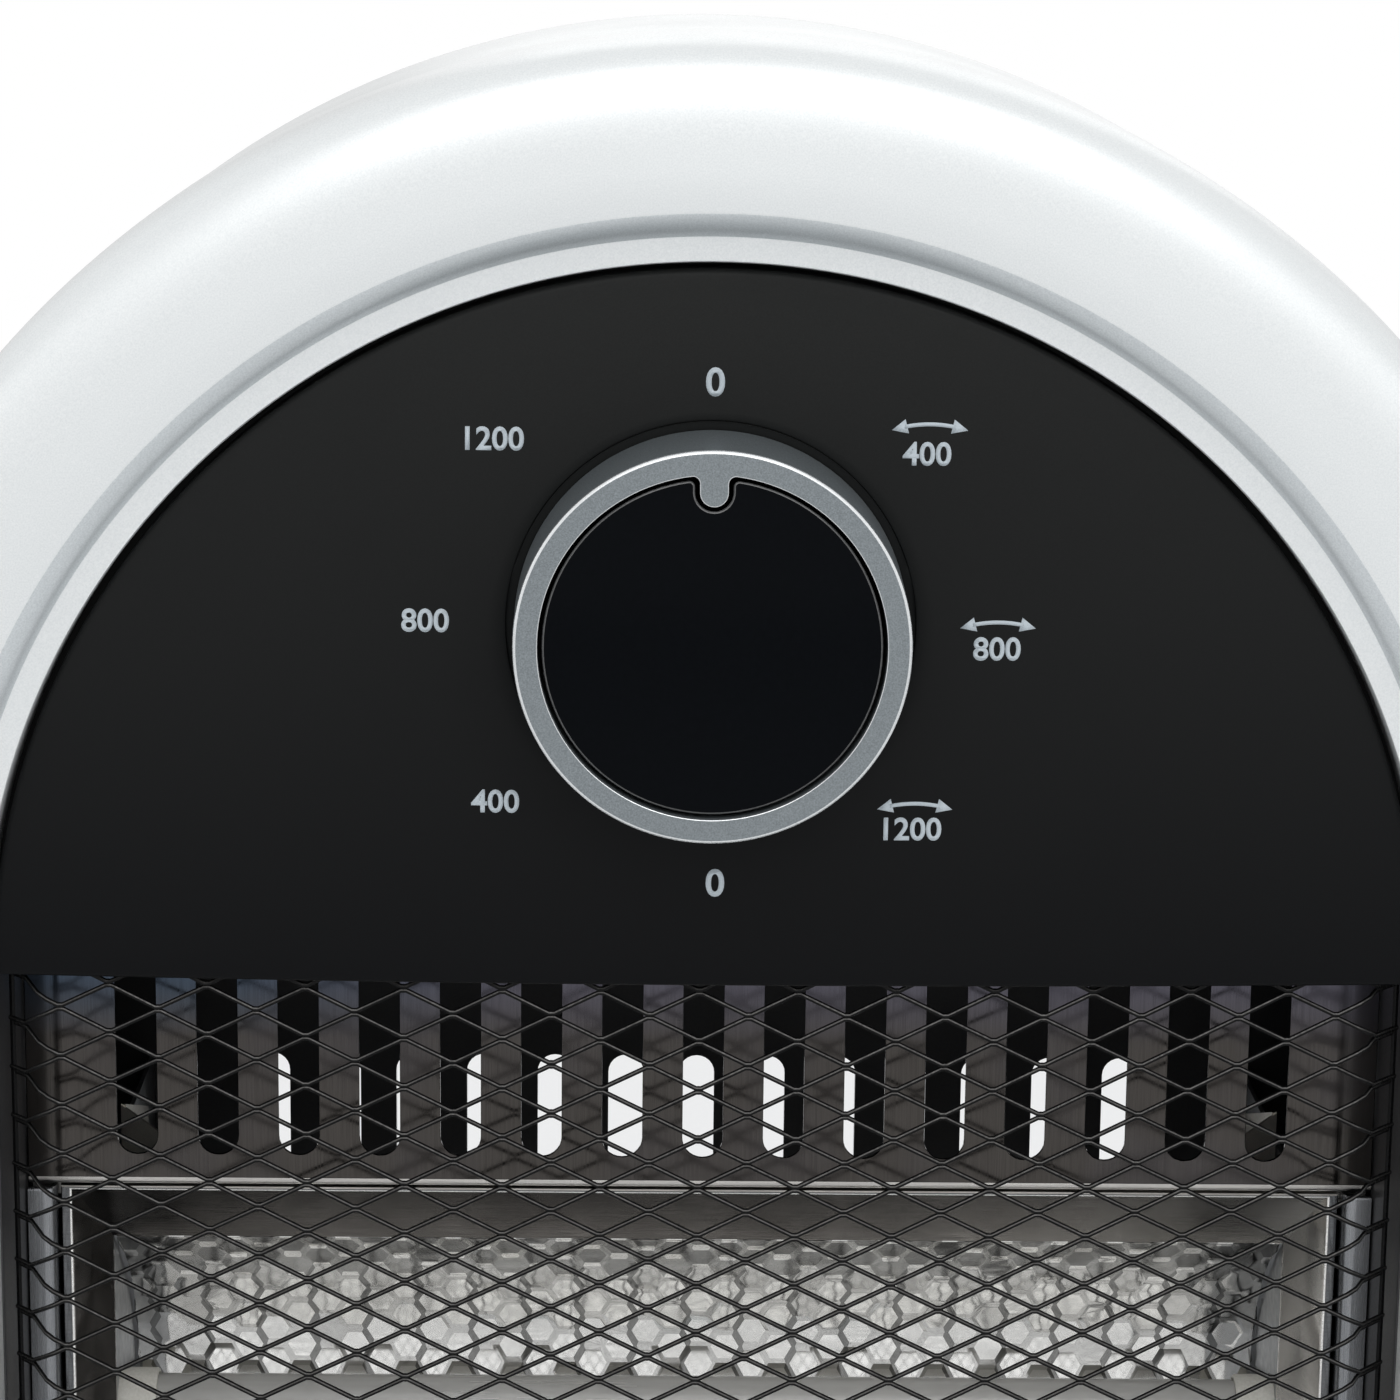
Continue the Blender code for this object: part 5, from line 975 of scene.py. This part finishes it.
def rails():
    """Upright steel rails with a rolled inner edge, one at each side of the reflector."""
    for side, word in SIDES:
        section = [(110.6, 37.0), (110.6, 35.6)] + arc((112.8, 35.6), 2.2, 180.0, 270.0, 12)[1:]
        section += [(LINER, 33.4), (LINER, 34.2), (112.8, 34.2)]
        section += arc((112.8, 35.6), 1.4, 270.0, 180.0, 10)[1:] + [(111.4, 37.0)]
        rings = []
        for up, inset in ((-46.9, 0.35), (-47.1, 0.12), (-47.5, 0.0), (-120.0, 0.0), (-200.0, 0.0),
                          (-266.0, 0.0)):
            rings.append([at(side * x, depth + (inset if depth < 36.0 else 0.0), up) for x, depth in section])
        piece(f"rail_{word}", loft(rings, ends=True), RAIL_STEEL, "head",
              f"side_rail_{word}", 40.0)


# Heating elements

def elements():
    """Milky tubes with a fine coil along each."""
    for number in range(1, 4):
        up = MIRROR_TOP - TROUGH_PITCH * (number - 0.5)

        def to_world(x, y, height, up=up):
            return at(height, TUBE_DEPTH + x, up + y)

        profile = [(4.0, -99.5), (4.15, -99.5), (4.85, -99.35), (5.0, -99.0), (5.0, 99.0), (4.85, 99.35),
                   (4.15, 99.5), (4.0, 99.5)]
        piece(f"tube_{number}", turned(profile, to_world, 48, True), QUARTZ, "head",
              f"quartz_tube_{number}")
        turns, per_turn, radius, length = 45, 14, 3.0, 180.0
        points = [to_world(0.0, 0.0, -99.0), to_world(0.0, 0.0, -95.0)]
        for i in range(turns * per_turn + 1):
            angle = tau * i / per_turn
            points.append(to_world(radius * cos(angle), radius * sin(angle),
                                   length * (i / (turns * per_turn) - 0.5)))
        points += [to_world(0.0, 0.0, 95.0), to_world(0.0, 0.0, 99.0)]
        piece(f"coil_{number}", wire(f"coil_{number}", points, 0.4), COIL_METAL, "head",
              f"heating_coil_{number}")
        for side, word in SIDES:
            profile = [(0.0, 111.0), (3.6, 111.0), (4.2, 110.6), (6.8, 107.0), (7.0, 106.5), (7.0, 104.1),
                       (6.8, 103.9), (6.0, 103.9), (6.0, 96.4), (5.8, 96.1), (5.3, 96.0), (5.3, 99.8),
                       (0.0, 99.8)]
            shape = turned([(r, side * h) for r, h in profile], to_world, 40)
            piece(f"cap_{number}_{word}", shape, CERAMIC, "head",
                  f"ceramic_cap_{number}_{word}", 40.0)


# Base and neck

def round_piece(name, profile, material, body, stands_for, x=0.0, y=0.0, steps=96, looped=False):
    """A lathed upright piece from (radius, height above the floor)."""
    shape = turned(profile, lambda px, py, h: world(x + px, y + py, h), steps, looped)
    piece(name, shape, material, body, stands_for)


def base():
    """The domed base cover, its plate, feet, screws, gland and the neck that the head turns on."""
    low_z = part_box("base_cover")[0].z / MM
    rise, run = BASE_TOP - low_z, BASE_EDGE - BASE_SEAT
    profile = [(19.2, 42.0), (19.2, 43.7), (19.6, BASE_TOP), (BASE_SEAT, BASE_TOP)]
    profile += [(BASE_SEAT + across, low_z + up) for across, up in squared(run, rise, 2.3, 40)[1:-1]]
    profile += [(BASE_EDGE, low_z + 0.6), (BASE_EDGE - 0.2, low_z), (BASE_EDGE - 2.0, low_z)]
    inner = squared(run - BASE_WALL, rise - BASE_WALL, 2.3, 20)[::-1]
    profile += [(BASE_SEAT + across, low_z + up) for across, up in inner[1:]]
    round_piece("base_skin", profile, SILVER, "base", "base_cover", steps=144, looped=True)
    profile = [(0.0, PLATE_LOW), (11.0, PLATE_LOW), (11.0, 1.2), (10.7, 0.5), (10.0, 0.0), (8.6, 0.0),
               (8.2, 0.5), (0.0, 0.5)]
    for i, (x, y) in enumerate(arc((0.0, 0.0), FOOT_RING, 45.0, 315.0, 3), start=1):
        round_piece(f"foot_{i}", profile, RUBBER, "base", f"rubber_foot_{i}", x, y, 40)
    for i, (x, y) in enumerate(arc((0.0, 0.0), SCREW_RING, 30.0, 270.0, 2), start=1):
        screw(f"plate_screw_{i}", lambda px, py, h, x=x, y=y: world(x + px, y - py, PLATE_LOW - h), "base",
              f"base_screw_{i}")
    bore = [(19.3, 44.35), (19.3, 46.25), (33.6, 46.25), (34.0, 46.0), (34.0, 44.6), (33.7, 44.35)]
    round_piece("washer_skin", bore, PALE_PLASTIC, "base", "thrust_washer", looped=True)
    post = [(14.0, 78.0), (14.0, 66.5), (33.4, 66.5), (34.0, 66.0), (33.6, 64.6), (31.2, 61.8), (30.2, 58.6),
            (30.0, 56.0), (30.3, 53.6), (31.4, 51.0), (33.4, 48.8), (35.4, 47.7), (36.0, 47.2), (35.9, 46.75),
            (35.4, 46.6), (18.8, 46.6), (18.8, 41.4), (15.0, 41.4), (15.0, 33.3), (8.0, 33.3), (8.0, 78.0)]
    round_piece("neck_skin", post, DARK_PLASTIC, "head", "neck_post", looped=True)

    def rearward(px, py, h):
        return world(px, h, GLAND_UP + py)

    boss = [(5.3, 113.2), (9.2, 113.2), (9.2, 129.7), (8.8, 130.2), (8.1, 130.2), (7.8, 129.9), (7.8, 128.7),
            (5.3, 128.7)]
    piece("gland_boss", turned(boss, rearward, 48, True), SILVER, "base")
    profile = [(3.4, 110.2), (4.6, 110.2), (5.0, 110.7), (5.0, 129.0), (7.5, 129.0), (7.5, 130.3),
               (7.3, 130.75), (6.8, 131.0), (4.2, 131.0), (3.4, 130.4)]
    piece("gland_skin", turned(profile, rearward, 48, True), DARK_PLASTIC, "base",
          "cord_gland")


def carried_over():
    """Surfaces for the CAD nodes that keep their own shape."""
    dress(ZINC, "heat_baffle", "tube_bracket_left", "tube_bracket_right", "neck_nut", "swivel_arm",
          "switch_shaft")
    # The side brackets take the lighter steel: painted light.
    dress(SIDE_STEEL, "side_bracket_left", "side_bracket_right")
    dress(DARK_PLASTIC, "rotary_switch", "thermal_cutout", "retaining_collar", "base_plate", "tip_switch",
          "oscillation_motor")
    dress(PALE_PLASTIC, "terminal_block", "drive_crank", "tip_plunger")


# Setting

def background_rays(tree):
    """One for rays that show the background directly, in metal or through glass."""
    path = tree.nodes.new("ShaderNodeLightPath")
    share = path.outputs["Is Camera Ray"]
    for kind in ("Is Glossy Ray", "Is Transmission Ray"):
        share = joined(tree, "ShaderNodeMath", share, path.outputs[kind], operation="MAXIMUM")
    return share


def stage():
    """A plain pale floor that keeps the shadow, under a white sky."""
    mesh = bpy.data.meshes.new("floor")
    half = 3.0
    corners = [(-half, -half, 0.0), (half, -half, 0.0), (half, half, 0.0), (-half, half, 0.0)]
    mesh.from_pydata(corners, [], [(0, 1, 2, 3)])
    paper = surface("floor_paper", (0.90, 0.90, 0.90), (0.88, 0.88, 0.88), 3.0, 0.8, wear=0.1,
                    wear_size=400.0)
    mesh.materials.append(paper)
    tree = paper.node_tree
    pale = spread(tree, background_rays(tree), 0.0, 1.0, 0.0, 0.5)
    glow = node(tree, "ShaderNodeEmission", Color=(1.0, 1.0, 1.0, 1.0), Strength=1.0)
    seen = joined(tree, "ShaderNodeMixShader", pale, tree.nodes["Principled BSDF"].outputs["BSDF"],
                  glow.outputs["Emission"])
    tree.links.new(seen, tree.nodes["Material Output"].inputs["Surface"])
    linked("floor", mesh)
    sky = bpy.data.worlds.new("studio")
    bpy.context.scene.world = sky
    sky.use_nodes = True
    tree = sky.node_tree
    tree.nodes.clear()
    soft = node(tree, "ShaderNodeBackground", Color=(0.95, 0.97, 1.0, 1.0), Strength=0.62)
    white = node(tree, "ShaderNodeBackground", Color=(1.0, 1.0, 1.0, 1.0), Strength=1.0)
    seen = joined(tree, "ShaderNodeMixShader", background_rays(tree), soft.outputs[0], white.outputs[0])
    tree.links.new(seen, tree.nodes.new("ShaderNodeOutputWorld").inputs["Surface"])


def lamp(name, place, aim, size, power):
    """A soft square lamp."""
    light = bpy.data.lights.new(name, "AREA")
    light.shape = "SQUARE"
    light.size = size
    light.energy = power
    made = linked(name, light)
    made.location = place
    made.rotation_euler = (Vector(aim) - Vector(place)).to_track_quat("-Z", "Y").to_euler()


# Across, back and up; yaw, pitch and roll; and the focal length
VIEW_PLACE, VIEW_TURNS, VIEW_LENS = (-9.905, -626.807, 178.676), (0.761, 11.897, -0.642), 103.82


def camera():
    """The photograph's viewpoint, fitted to the outline, the knob, the slots and the guard."""
    yaw, pitch, roll = (radians(angle) for angle in VIEW_TURNS)
    turned_by = (Matrix.Rotation(-yaw, 4, "Z") @ Matrix.Rotation(pi / 2 - pitch, 4, "X")
                 @ Matrix.Rotation(-roll, 4, "Z"))
    lens = bpy.data.cameras.new("camera")
    lens.lens = VIEW_LENS
    lens.sensor_width = 36.0
    lens.clip_start = 0.01
    made = linked("camera", lens)
    made.matrix_world = Matrix.Translation(at(*VIEW_PLACE)) @ turned_by
    bpy.context.scene.camera = made


bezel()
shell()
rear_screws()
grip()
panel()
dial_marks()
knob_ring()
knob_cap()
guard()
surround()
liner()
reflector_frame()
reflector()
rails()
elements()
base()
carried_over()
stage()
lamp("key_above", (0.1, -1.05, 1.40), (0.0, 0.0, 0.40), 1.3, 8.0)
lamp("fill_left", (-1.35, -0.75, 0.75), (0.0, 0.0, 0.32), 1.0, 0.8)
lamp("fill_right", (1.35, -0.85, 0.80), (0.0, 0.0, 0.32), 1.0, 1.1)
lamp("rim_behind", (0.2, 1.3, 1.1), (0.0, 0.0, 0.35), 1.0, 2.0)
camera()
bpy.context.scene.view_settings.view_transform = "Standard"
